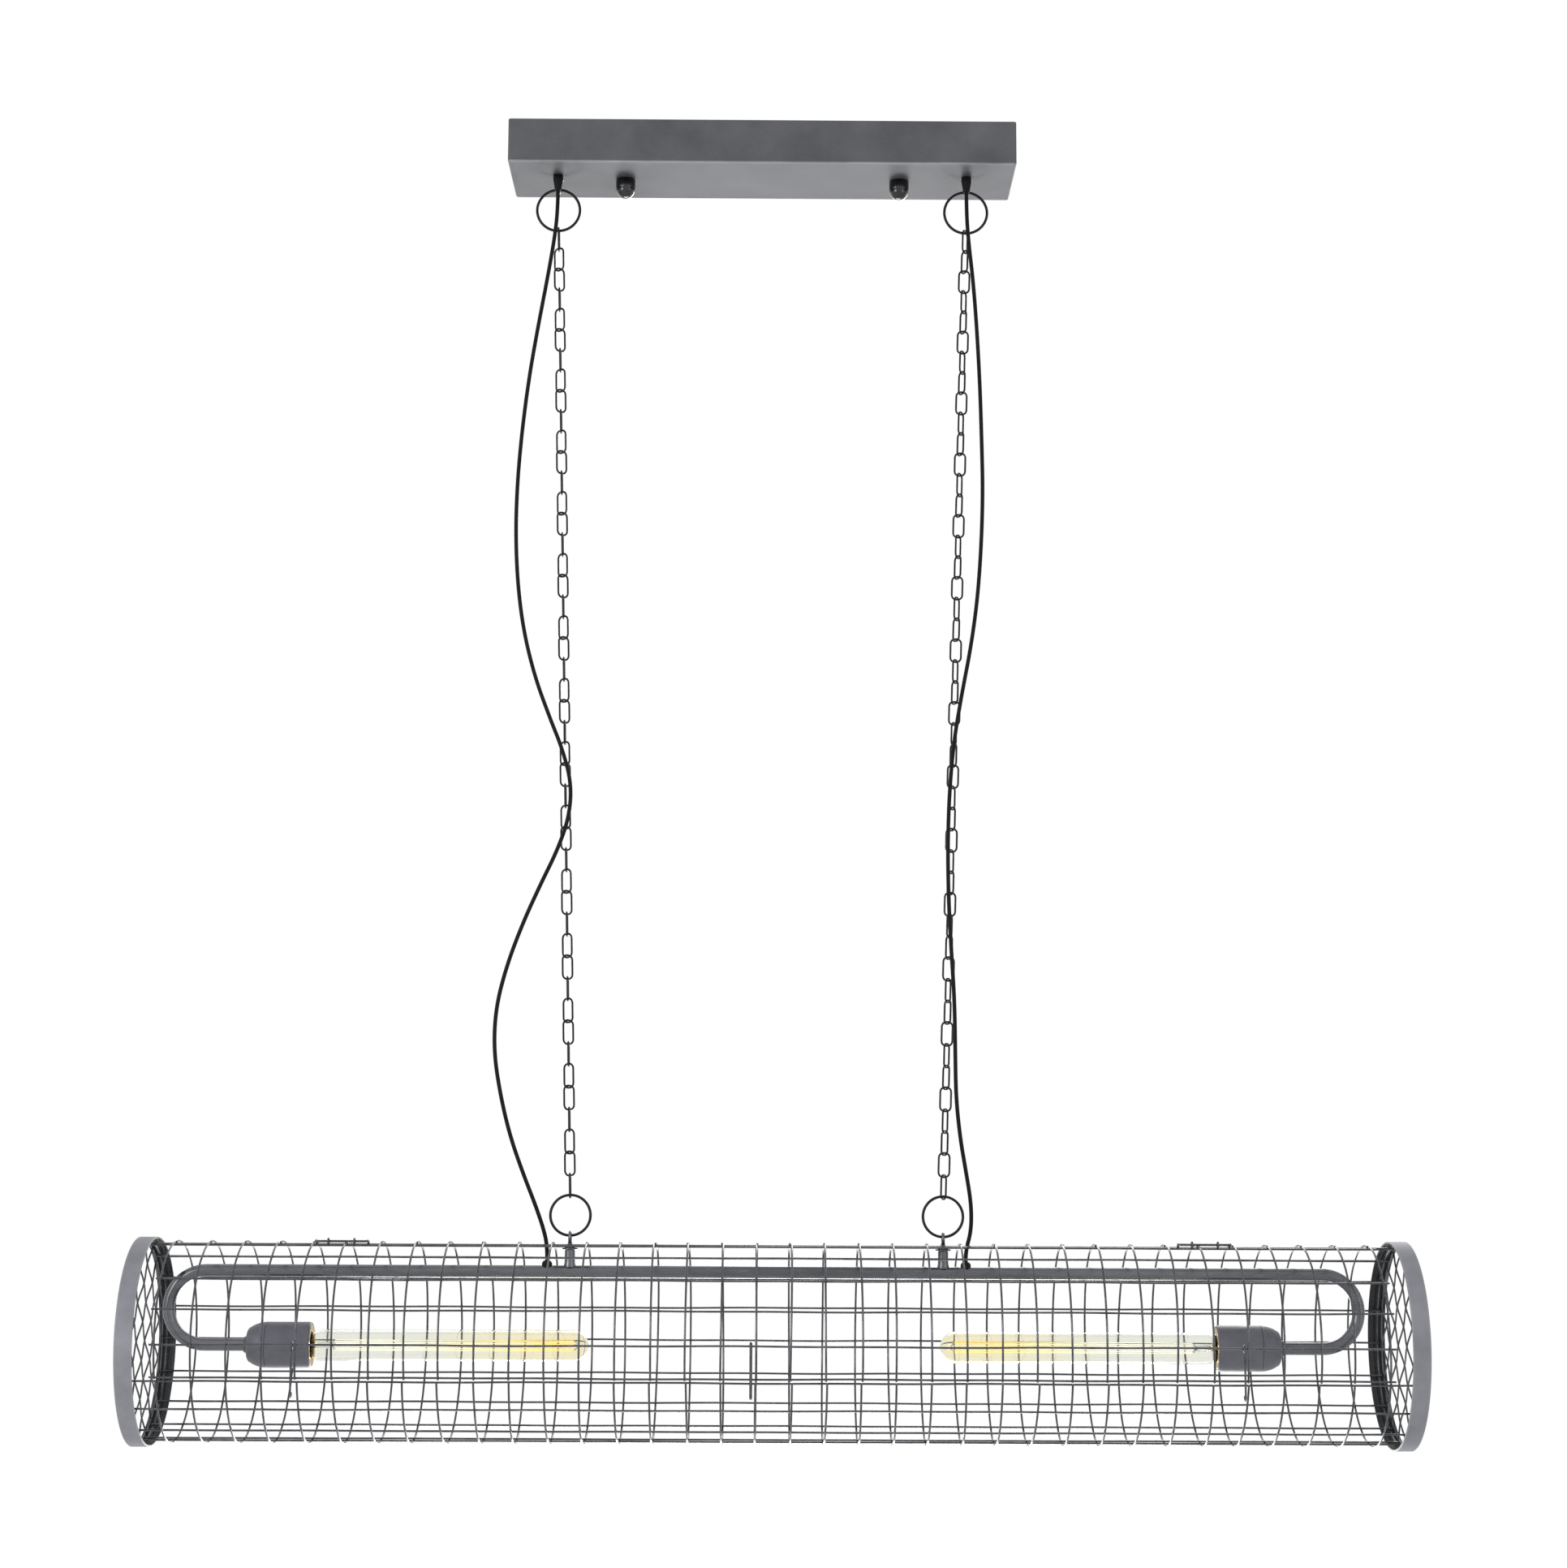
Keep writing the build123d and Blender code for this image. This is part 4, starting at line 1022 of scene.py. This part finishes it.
@dataclass
class Lamp:
    """Bent tube with its posts, grommets, lampholders and bulbs."""

    tube_r: float = 6.0
    tube_rise: float = 68.0
    bend_r: float = 35.5
    bend_x: float = 541.5
    bend_steps: int = 32
    run_inset: float = 20.0
    run_steps: int = 24
    tail: float = 42.0
    eye_rise: float = 101.0
    foot_lap: float = 1.6
    grommet_x: float = 203.5
    holder_r: float = 22.0
    holder_inner: float = 19.8
    holder_length: float = 67.0
    rim_r: float = 2.2
    cap_length: float = 24.0
    boss: float = 5.0

    @property
    def top_z(self) -> float:
        """Height of the tube's upper run."""
        return AXIS_Z + self.tube_rise

    @property
    def holder_z(self) -> float:
        """Height of the lampholders' axis."""
        return self.top_z - 2 * self.bend_r

    def tube(self) -> None:
        """Carry the tube's round section along its upper run, the two half-circle bends and the tails."""
        z = (self.top_z + self.holder_z) / 2
        ends = [HOLDER_MIDDLE + side.value * self.bend_x for side in Side]
        left = arc((ends[0], z), self.bend_r, 270, 90, self.bend_steps)
        right = arc((ends[1], z), self.bend_r, 90, -90, self.bend_steps)
        first, last = (ends[0] + self.run_inset, self.top_z), (ends[1] - self.run_inset, self.top_z)
        run = np.linspace(first, last, self.run_steps)
        tails = [[(HOLDER_MIDDLE + side.value * (self.bend_x - self.tail), self.holder_z)] for side in Side]
        flat = np.concatenate([tails[0], left, run, right, tails[1]])
        round_tube = carry(np.insert(flat, 1, 0.0, axis=1), self.tube_r, BACK, sides=28)
        place("curved_tube", [round_tube], OXIDE_STEEL, "lamp", "dark_steel", "bent_tube")

    def posts(self) -> None:
        """Turn the posts: a flared foot on the tube, the flange under the saddle plate, a neck and a round eye."""
        foot = self.tube_rise + self.tube_r - self.foot_lap
        flare = [(foot, 5.8), (foot + self.foot_lap, 5.8), (foot + 4, 5.2), (foot + 7, 5.0)]
        flange = [(88.9, 5.0), (89.2, 7.0), (89.6, 7.5), (90.6, 7.5), (91.0, 7.2), (91.1, 5.0)]
        neck = [(92.8, 5.0), (94.2, 3.2), (95.2, 2.2), (97, 2.0)]
        grids = []
        for side in Side:
            x = side.value * POST_X
            grids.append(turn(np.array(flare + flange + neck), (x, 0, AXIS_Z), UP, sides=40, capped=True))
            grids.append(wire_ring((x, 0, AXIS_Z + self.eye_rise), *EYE))
        place("eye_posts", grids, OXIDE_STEEL, "lamp", "dark_steel", "posts")

    def grommets(self) -> None:
        """Turn the soft grommets: a round collar that closes on the cord."""
        collar = [(4.5, 5.0), (7.6, 5.0), (8.6, 4.8), (9.6, 4.2), (10.5, 3.2), (11.0, 2.0)]
        bore = [(4.5, 1.9), collar[0]]
        starts = [(side.value * self.grommet_x, 0, self.top_z) for side in Side]
        grids = [turn(np.array(collar + bore), start, UP, sides=32) for start in starts]
        place("soft_grommets", grids, BLACK_PVC, "lamp", "black_plastic", "grommets")

    def axis_start(self, side: Side) -> Point:
        """Where a lampholder's axis starts, at the back of its boss."""
        return (HOLDER_MIDDLE + side.value * (self.bend_x - self.tail + self.boss), 0, self.holder_z)

    def holders(self) -> None:
        """Turn the lampholders: a rounded cap, a skirt with a soft rim and a brass shell with its flange.

        The cap's back is an arc, and its flank a quadratic curve from there to the full width.
        """
        full, inner, lap, end = self.holder_r, self.holder_inner, self.cap_length, self.holder_length
        boss = [(self.boss, self.tube_r), (1.5, self.tube_r), (1.5, 7.2), (2.0, 7.8), (self.boss, 7.8)]
        back = arc((self.boss + 5.0, 12.5), 5.0, 180, 108, 9)
        t = np.linspace(0, 1, 10)[1:, None]
        flank = quadratic(back[-1], np.array((13.5, 21.0)), np.array((lap - 1.0, full)), t)
        edge = [(lap - 0.4, full), (lap, full - 0.5), (lap, inner)]
        inside = [(19, inner), (self.boss + 2.2, self.tube_r), boss[0]]
        cap = [*boss, *back, *flank, *edge, *inside]
        rim = arc((end - self.rim_r, full - self.rim_r), self.rim_r, 90, 0, 6)
        skirt = [(lap, inner), (lap, full - 0.5), (lap + 0.4, full), *rim, (end, inner), (lap, inner)]
        cup = [(33.7, 13.1), (33, 13.1), (33, 13.8), (65.8, 13.8)]
        flange = [(65.8, 19.7), (66.7, 19.7), (end, 19.4), (end, 13.6), (66.7, 13.1), cup[0]]
        rows = [
            ("moulded_caps", cap, 72, PHENOLIC, "holder_black", "holder_caps"),
            ("moulded_skirts", skirt, 72, PHENOLIC, "holder_black", "holder_skirts"),
            ("spun_shells", cup + flange, 64, BRASS, "brass", "screw_shells"),
        ]
        for name, profile, sides, finish, slot, node in rows:
            grids = [turn(np.array(profile), self.axis_start(side), side.inward, sides) for side in Side]
            place(name, grids, finish, "lamp", slot, node)

    def build(self) -> None:
        """Build the tube and everything it carries."""
        self.tube()
        self.posts()
        self.grommets()
        self.holders()
        for side in Side:
            Bulb(side, self.axis_start(side)).build()


@dataclass
class Cage:
    """Round wire cage with its door, bands and end grilles. Angles go from the top towards the viewer, in degrees."""

    # Hoops and lines of wire
    half: float = 615.0
    pitch: float = 33.0
    first_ring: int = -17
    last_ring: int = 18
    ring_r: float = 96.0
    line_r: float = 94.0
    wire_r: float = 1.0
    body_arc: tuple[float, float] = (110.6, 367.0)
    door_arc: tuple[float, float] = (10.0, 109.4)
    body_angles: tuple[float, ...] = (111.2, *range(130, 351, 20), 366.3)
    door_angles: tuple[float, ...] = (10.6, 30, 50, 70, 90, 108.8)
    body_lap: float = 2.0
    door_lap: float = 6.0
    # End bands
    band_r: float = 100.0
    band_t: float = 2.0
    band_width: float = 17.0
    groove_pitch: float = 3.75
    groove_depth: float = 0.25
    groove_lip: float = 1.0
    groove_steps: int = 33
    # Share of the distance from the axis past which inward faces get the painted shade
    inside_shade_share: float = 0.2
    # End grilles
    grille_cell: float = 26.16
    grille_wires: int = 8
    grille_wire: float = 0.9
    grille_rim: float = 1.1
    grille_inset: float = 3.9
    grille_play: float = 1.2
    crimp: float = 0.75
    # How far hand-bent wires stray: the lean, bow and dents of hoops, and the size and length of the lines' waves
    lean_mm: float = 0.9
    bow_share: float = 0.4
    dent_mm: float = 0.15
    dents: int = 18
    line_waves: tuple[tuple[float, float], ...] = ((0.25, 61.0), (0.2, 23.0))
    line_steps: int = 76
    line_turn: float = 0.01
    hoop_step: float = 4.0
    seed: int = 11
    rng: np.random.Generator = field(init=False)

    def __post_init__(self) -> None:
        """Start the seeded numbers that make hand-bent wires differ a little."""
        self.rng = np.random.default_rng(self.seed)

    @staticmethod
    def at(angle: Array, radius: float | Array, x: float | Array) -> Array:
        """Points of the cage at an angle, a distance from its axis and a place along it, as rows of X, Y and Z."""
        a = np.radians(np.asarray(angle, float))
        return np.stack(np.broadcast_arrays(x, -radius * np.sin(a), AXIS_Z + radius * np.cos(a)), axis=-1)

    def hoop(self, x: float, start: float, end: float) -> Grid:
        """One hoop wire over a range of angles, which leans, bows and is dented a little.

        X gets two slow sines of the angle, and the radius a fast one.

        Args:
            x: place along the cage.
            start: first angle.
            end: last angle.

        Returns:
            The wire's grid.
        """
        angle = np.linspace(start, end, int((end - start) / self.hoop_step))
        lean, bow = self.rng.normal(0, self.lean_mm, 2)
        turned = self.rng.uniform(0, 360)
        sway = lean * np.cos(np.radians(angle - turned)) + self.bow_share * bow * np.sin(np.radians(2 * angle + turned))
        radius = self.ring_r + self.dent_mm * np.cos(np.radians(self.dents * angle))
        return carry(self.at(angle, radius, x + sway), self.wire_r, ALONG, sides=8)

    def line(self, angle: float, start: float, end: float) -> Grid:
        """One wire along the cage at an angle. It waves a little, as a slow and a faster sine of X.

        Args:
            angle: its place round the cage.
            start: X of its first end.
            end: X of its last end.

        Returns:
            The wire's grid.
        """
        x = np.linspace(start, end, self.line_steps)
        phases = self.rng.uniform(0, 2 * pi, len(self.line_waves))
        wave = sum(size * np.sin(x / length + phase) for (size, length), phase in zip(self.line_waves, phases))
        path = self.at(angle + np.degrees(wave / self.line_r), self.line_r, x)
        # Any direction square to X serves as the first one of the wire's section
        side = (0, sin(radians(angle)) + self.line_turn, cos(radians(angle)))
        return carry(path, self.wire_r, side, sides=8)

    def wires(self) -> None:
        """Bend the hoops and lines of the fixed cage and of its door, and the whole hoops in the end bands."""
        places = [self.pitch * k for k in range(self.first_ring, self.last_ring + 1)]
        rim = self.half - self.band_width / 2
        rims = [(CAGE_MIDDLE + side.value * rim, 0, AXIS_Z) for side in Side]
        whole = [wire_ring(centre, self.ring_r, self.wire_r, steps=96, sides=8) for centre in rims]
        body_ends = (CAGE_MIDDLE - rim - self.body_lap, CAGE_MIDDLE + rim + self.body_lap)
        door_ends = (places[0] - self.door_lap, places[-1] + self.door_lap)
        rows = [
            ("body", "lamp", self.body_arc, whole, self.body_angles, body_ends),
            ("door", "door", self.door_arc, [], self.door_angles, door_ends),
        ]
        for word, body, span, more, angles, ends in rows:
            hoops = [self.hoop(x, *span) for x in places] + more
            place(f"{word}_hoops", hoops, CAGE_WIRE, body, "wire", f"{word}_ring_wires")
            lines = [self.line(angle, *ends) for angle in angles]
            place(f"{word}_lines", lines, CAGE_WIRE, body, "wire", f"{word}_line_wires")

    def bands(self) -> None:
        """Turn the end bands: a flat strip with eased and rubbed edges, and rolled grooves in its inside, which has
        painted shade.

        The inside's radius follows one cosine for each groove. Faces that look inwards by more than a share of their
        distance from the axis get the painted shade, a nearly black coat.
        """
        wide, full = self.band_width, self.band_r
        front = [(0.0, full - 1.6), (0.0, full - 0.4), (0.4, full), (1.4, full)]
        rear = [(wide - along, radius) for along, radius in front[::-1]]
        groove = np.linspace(wide - self.groove_lip, self.groove_lip, self.groove_steps)
        waves = self.groove_depth * (1 - np.cos(2 * pi * (groove - self.groove_lip) / self.groove_pitch))
        profile = np.concatenate([front, rear, np.c_[groove, full - self.band_t + waves], front[:1]])
        eased_rows = (1, 2, 5, 6)
        worn = np.isin(np.arange(len(profile)), eased_rows).astype(float)
        ends = [((CAGE_MIDDLE + side.value * self.half, 0, AXIS_Z), side.inward) for side in Side]
        grids = [turn(profile, start, inward, sides=128, worn=worn) for start, inward in ends]
        piece = place("steel_bands", grids, BAND_COAT, "lamp", "grey_paint", "end_bands", sharp=60)
        # Painted shade: inward-looking faces get a nearly black coat where shade falls inside the band
        piece.data.materials.append(BAND_INSIDE_SHADE.material())
        faces = piece.data.polygons
        centre, normal = np.empty((len(faces), 3)), np.empty((len(faces), 3))
        faces.foreach_get("center", centre.ravel())
        faces.foreach_get("normal", normal.ravel())
        outward = ((centre - (0, 0, AXIS_Z * MM)) * normal)[:, 1:].sum(1)
        faces.foreach_set("material_index", (outward < -self.inside_shade_share * full * MM).astype(np.int32))

    def grilles(self) -> None:
        """Weave the end grilles: crimped diagonal wires that pass over and under each other, and a rim wire.

        A wire's X is a sine of the way along it, half a wave to a cell, and neighbours are half a wave apart.
        """
        inner = self.band_r - self.band_t - self.grille_play
        offsets = (np.arange(self.grille_wires) - (self.grille_wires - 1) / 2) * self.grille_cell
        grids = []
        for side in Side:
            centre = np.array((CAGE_MIDDLE + side.value * (self.half - self.grille_inset), 0, AXIS_Z))
            for way in (1, -1):
                first, second = np.array((0, 1, way)) / 2**0.5, np.array((0, -way, 1)) / 2**0.5
                for k, offset in enumerate(offsets):
                    reach = (inner**2 - offset**2) ** 0.5
                    t = np.linspace(-reach, reach, 72)[:, None]
                    crimp = self.crimp * way * (-1) ** k * np.sin(pi * t / self.grille_cell)
                    path = centre + t * first + offset * second + crimp * np.array(ALONG)
                    grids.append(carry(path, self.grille_wire, second, sides=7))
            grids.append(wire_ring(centre, inner, self.grille_rim, steps=96, sides=8))
        place("woven_grilles", grids, CAGE_WIRE, "lamp", "wire", "end_grilles")

    def build(self) -> None:
        """Build every piece of the cage."""
        self.wires()
        self.bands()
        self.grilles()


# Each latch hook's X and the radius of its wire
HOOKS = {"left": (-433.5, 1.0), "centre": (-4.5, 1.4), "right": (457.5, 1.0)}


@dataclass
class DoorFittings:
    """Hinge rods, hinge eyes and latch hooks of the cage's door."""

    hinge_x: float = 417.45
    hinge_r: float = 97.95
    hinge_angle: float = 10.0
    wire_drop: float = 2.0
    rod_back: float = 6.0
    rod_front: float = 1.0
    rod_rise: float = 3.5
    rod_half: float = 25.0
    rod_bend: float = 2.2
    rod_r: float = 1.2
    rod_side: Point = (0.3, 0.5, 0.77)
    eye_x: float = 12.5
    eye_r: float = 2.5
    eye_wire: float = 1.0
    hook_y: float = -93.46
    hook_hole: float = 1.714
    hook_length: float = 46.0
    hook_back: float = 5.0
    hook_rise: float = 2.5
    hook_bend: float = 1.25
    # A shank starts this much above its eye's middle, so that no two of their points are the same
    shank_lap: float = 0.4

    def on_flat(self, along: float, reach: float) -> tuple[float, float]:
        """Y and Z of a point on the hinge's flat of the cage, which leans by the hinge angle from the top."""
        a = radians(self.hinge_angle)
        return (-reach * sin(a) - along * cos(a), AXIS_Z + reach * cos(a) - along * sin(a))

    def hinges(self) -> None:
        """Bend the hinge rods of the fixed cage and the hinge eyes of the door."""
        low = self.hinge_r * cos(radians(self.hinge_angle)) - self.wire_drop
        high = low + self.rod_rise
        seat, shoulder = self.on_flat(-self.rod_back, low), self.on_flat(-self.rod_back, high)
        pivot = self.on_flat(self.rod_front, high)
        rods, eyes = [], []
        for side in Side:
            middle = CAGE_MIDDLE + side.value * self.hinge_x
            a, b = middle - self.rod_half, middle + self.rod_half
            corners = [(a, *seat), (a, *shoulder), (a, *pivot), (b, *pivot), (b, *shoulder), (b, *seat)]
            rods.append(carry(bend(corners, self.rod_bend), self.rod_r, self.rod_side))
            spots = [(x, *pivot) for x in (middle - self.eye_x, middle + self.eye_x)]
            eyes += [wire_ring(spot, self.eye_r, self.eye_wire, steps=28, sides=10) for spot in spots]
        place("bent_hinge_rods", rods, CAGE_WIRE, "lamp", "wire", "hinge_rods")
        place("wire_hinge_eyes", eyes, CAGE_WIRE, "door", "wire", "hinge_eyes")

    def hooks(self) -> None:
        """Bend the latch hooks: an eye round the door's middle wire, a long shank and a small hook."""
        for word, (x, wire) in HOOKS.items():
            front = self.hook_y - self.hook_hole - wire
            back, end = front + self.hook_back, AXIS_Z - self.hook_length
            eye = wire_ring((x, self.hook_y, AXIS_Z), self.hook_hole + wire, wire, steps=28, sides=10)
            shank = [(x, front, AXIS_Z + self.shank_lap), (x, front, end)]
            tip = [(x, back, end - self.hook_rise), (x, back, end + self.hook_rise)]
            hook = carry(bend(shank + tip, self.hook_bend), wire, ALONG)
            place(f"wire_hook_{word}", [eye, hook], CAGE_WIRE, f"hook_{word}", "wire", f"latch_{word}")

    def build(self) -> None:
        """Build every fitting of the door."""
        self.hinges()
        self.hooks()


@dataclass(frozen=True)
class SoftLight:
    """One soft square light of the studio, in metres and watts."""

    name: str
    spot: Point
    size: float
    power: float
    target: Point = (0, 0, -0.75)

    def hang(self) -> None:
        """Hang the light at its spot, turned to the target."""
        light = bpy.data.lights.new(self.name, "AREA")
        light.size = self.size
        light.energy = self.power
        holder = add_object(self.name, light)
        holder.location = self.spot
        holder.rotation_euler = (Vector(self.target) - Vector(self.spot)).to_track_quat("-Z", "Y").to_euler()


LIGHTS = (
    SoftLight("key_light", (-1.9, -1.9, -0.4), size=1.2, power=18.0),
    SoftLight("fill_light", (2.6, -2.2, -0.6), size=1.6, power=7.0),
    SoftLight("back_light", (0.6, 2.6, 0.3), size=1.4, power=26.0),
    SoftLight("low_light", (0.0, 1.7, -2.2), size=1.4, power=50.0),
)


@dataclass
class Studio:
    """Pale floor, white surroundings, soft lights and the photograph's camera."""

    floor_z: float = -2400.0
    floor_half: float = 30000.0
    world_light: float = 0.7
    eye: Point = (7.7, -2746.1, -1134.1)
    pitch: float = 8.235
    yaw: float = -0.352
    roll: float = 0.239
    focal_px: float = 3442.3
    image_px: float = 1931.0
    shift: float = 0.04
    sensor: float = 36.0
    clip_m: float = 200.0

    def surroundings(self) -> None:
        """White for what the camera, metal and glass see, and a soft even light on everything else."""
        world = bpy.data.worlds.new("studio_white")
        bpy.context.scene.world = world
        world.use_nodes = True
        world.node_tree.nodes.clear()
        add = partial(add_node, world.node_tree)
        strength = add("ShaderNodeMapRange", Value=seen_white(add), To_Min=self.world_light)["Result"]
        white = add("ShaderNodeBackground", Color=(1, 1, 1, 1), Strength=strength)["Background"]
        add("ShaderNodeOutputWorld", Surface=white)

    def floor(self) -> None:
        """Lay a wide pale floor."""
        x, y = np.meshgrid((-self.floor_half, self.floor_half), (-self.floor_half, self.floor_half))
        points = np.stack([x, y, np.full((2, 2), self.floor_z)], axis=-1)
        make_piece("studio_floor", [Grid(points, around=False)], FloorPaint())

    def camera(self) -> None:
        """Set the camera where the photograph was taken, with its aim, roll, lens and shift."""
        lens = bpy.data.cameras.new("photo_camera")
        lens.sensor_fit = "HORIZONTAL"
        lens.sensor_width = self.sensor
        lens.lens = self.focal_px * self.sensor / self.image_px
        lens.shift_y = self.shift
        lens.clip_end = self.clip_m
        holder = add_object("photo_camera", lens)
        aim = Matrix.Rotation(radians(self.yaw), 4, "Z") @ Matrix.Rotation(radians(90 + self.pitch), 4, "X")
        spot = Matrix.Translation(Vector(self.eye) * MM)
        holder.matrix_world = spot @ aim @ Matrix.Rotation(radians(self.roll), 4, "Z")
        bpy.context.scene.camera = holder

    def build(self) -> None:
        """Set up the whole studio."""
        self.surroundings()
        self.floor()
        for light in LIGHTS:
            light.hang()
        self.camera()
        bpy.context.scene.view_settings.view_transform = "Standard"


KEPT_NODES: dict[Finish, tuple[str, ...]] = {
    ZINC: ("ceiling_bracket", "bracket_studs", "loop_nuts"),
    BLACK_PVC: ("grip_nuts", "box_lead_left", "box_lead_right", "tube_leads"),
    BRASS: ("earth_screw", "terminal_screws", "holder_contacts", "bulb_cap_left", "bulb_cap_right"),
    CERAMIC: ("terminal_block", "holder_inserts"),
    OXIDE_STEEL: ("saddle_plates",),
}


def dress_kept_nodes(nodes: dict[str, bpy.types.Object]) -> None:
    """Give each CAD node that stays in view its finish.

    Args:
        nodes: the frame's CAD nodes by name.
    """
    for finish, names in KEPT_NODES.items():
        for name in names:
            mesh = nodes[name].data
            mesh.materials.clear()
            mesh.materials.append(finish.material())
            log.info("%s keeps its CAD shape in %s", name, finish.name)


def main() -> None:
    """Load the frame, build every sub-assembly and the studio, and give the kept CAD nodes their finishes."""
    logging.basicConfig(level=logging.INFO, format="%(name)s: %(message)s")
    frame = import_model()
    Studio().build()
    Hanger(Side.LEFT, first_twist=90.0, cord_points=LEFT_CORD).build()
    Hanger(Side.RIGHT, first_twist=60.0, cord_points=RIGHT_CORD).build()
    CeilingBox().build()
    Lamp().build()
    Cage().build()
    DoorFittings().build()
    dress_kept_nodes(frame["nodes"])


if __name__ == "__main__":
    main()
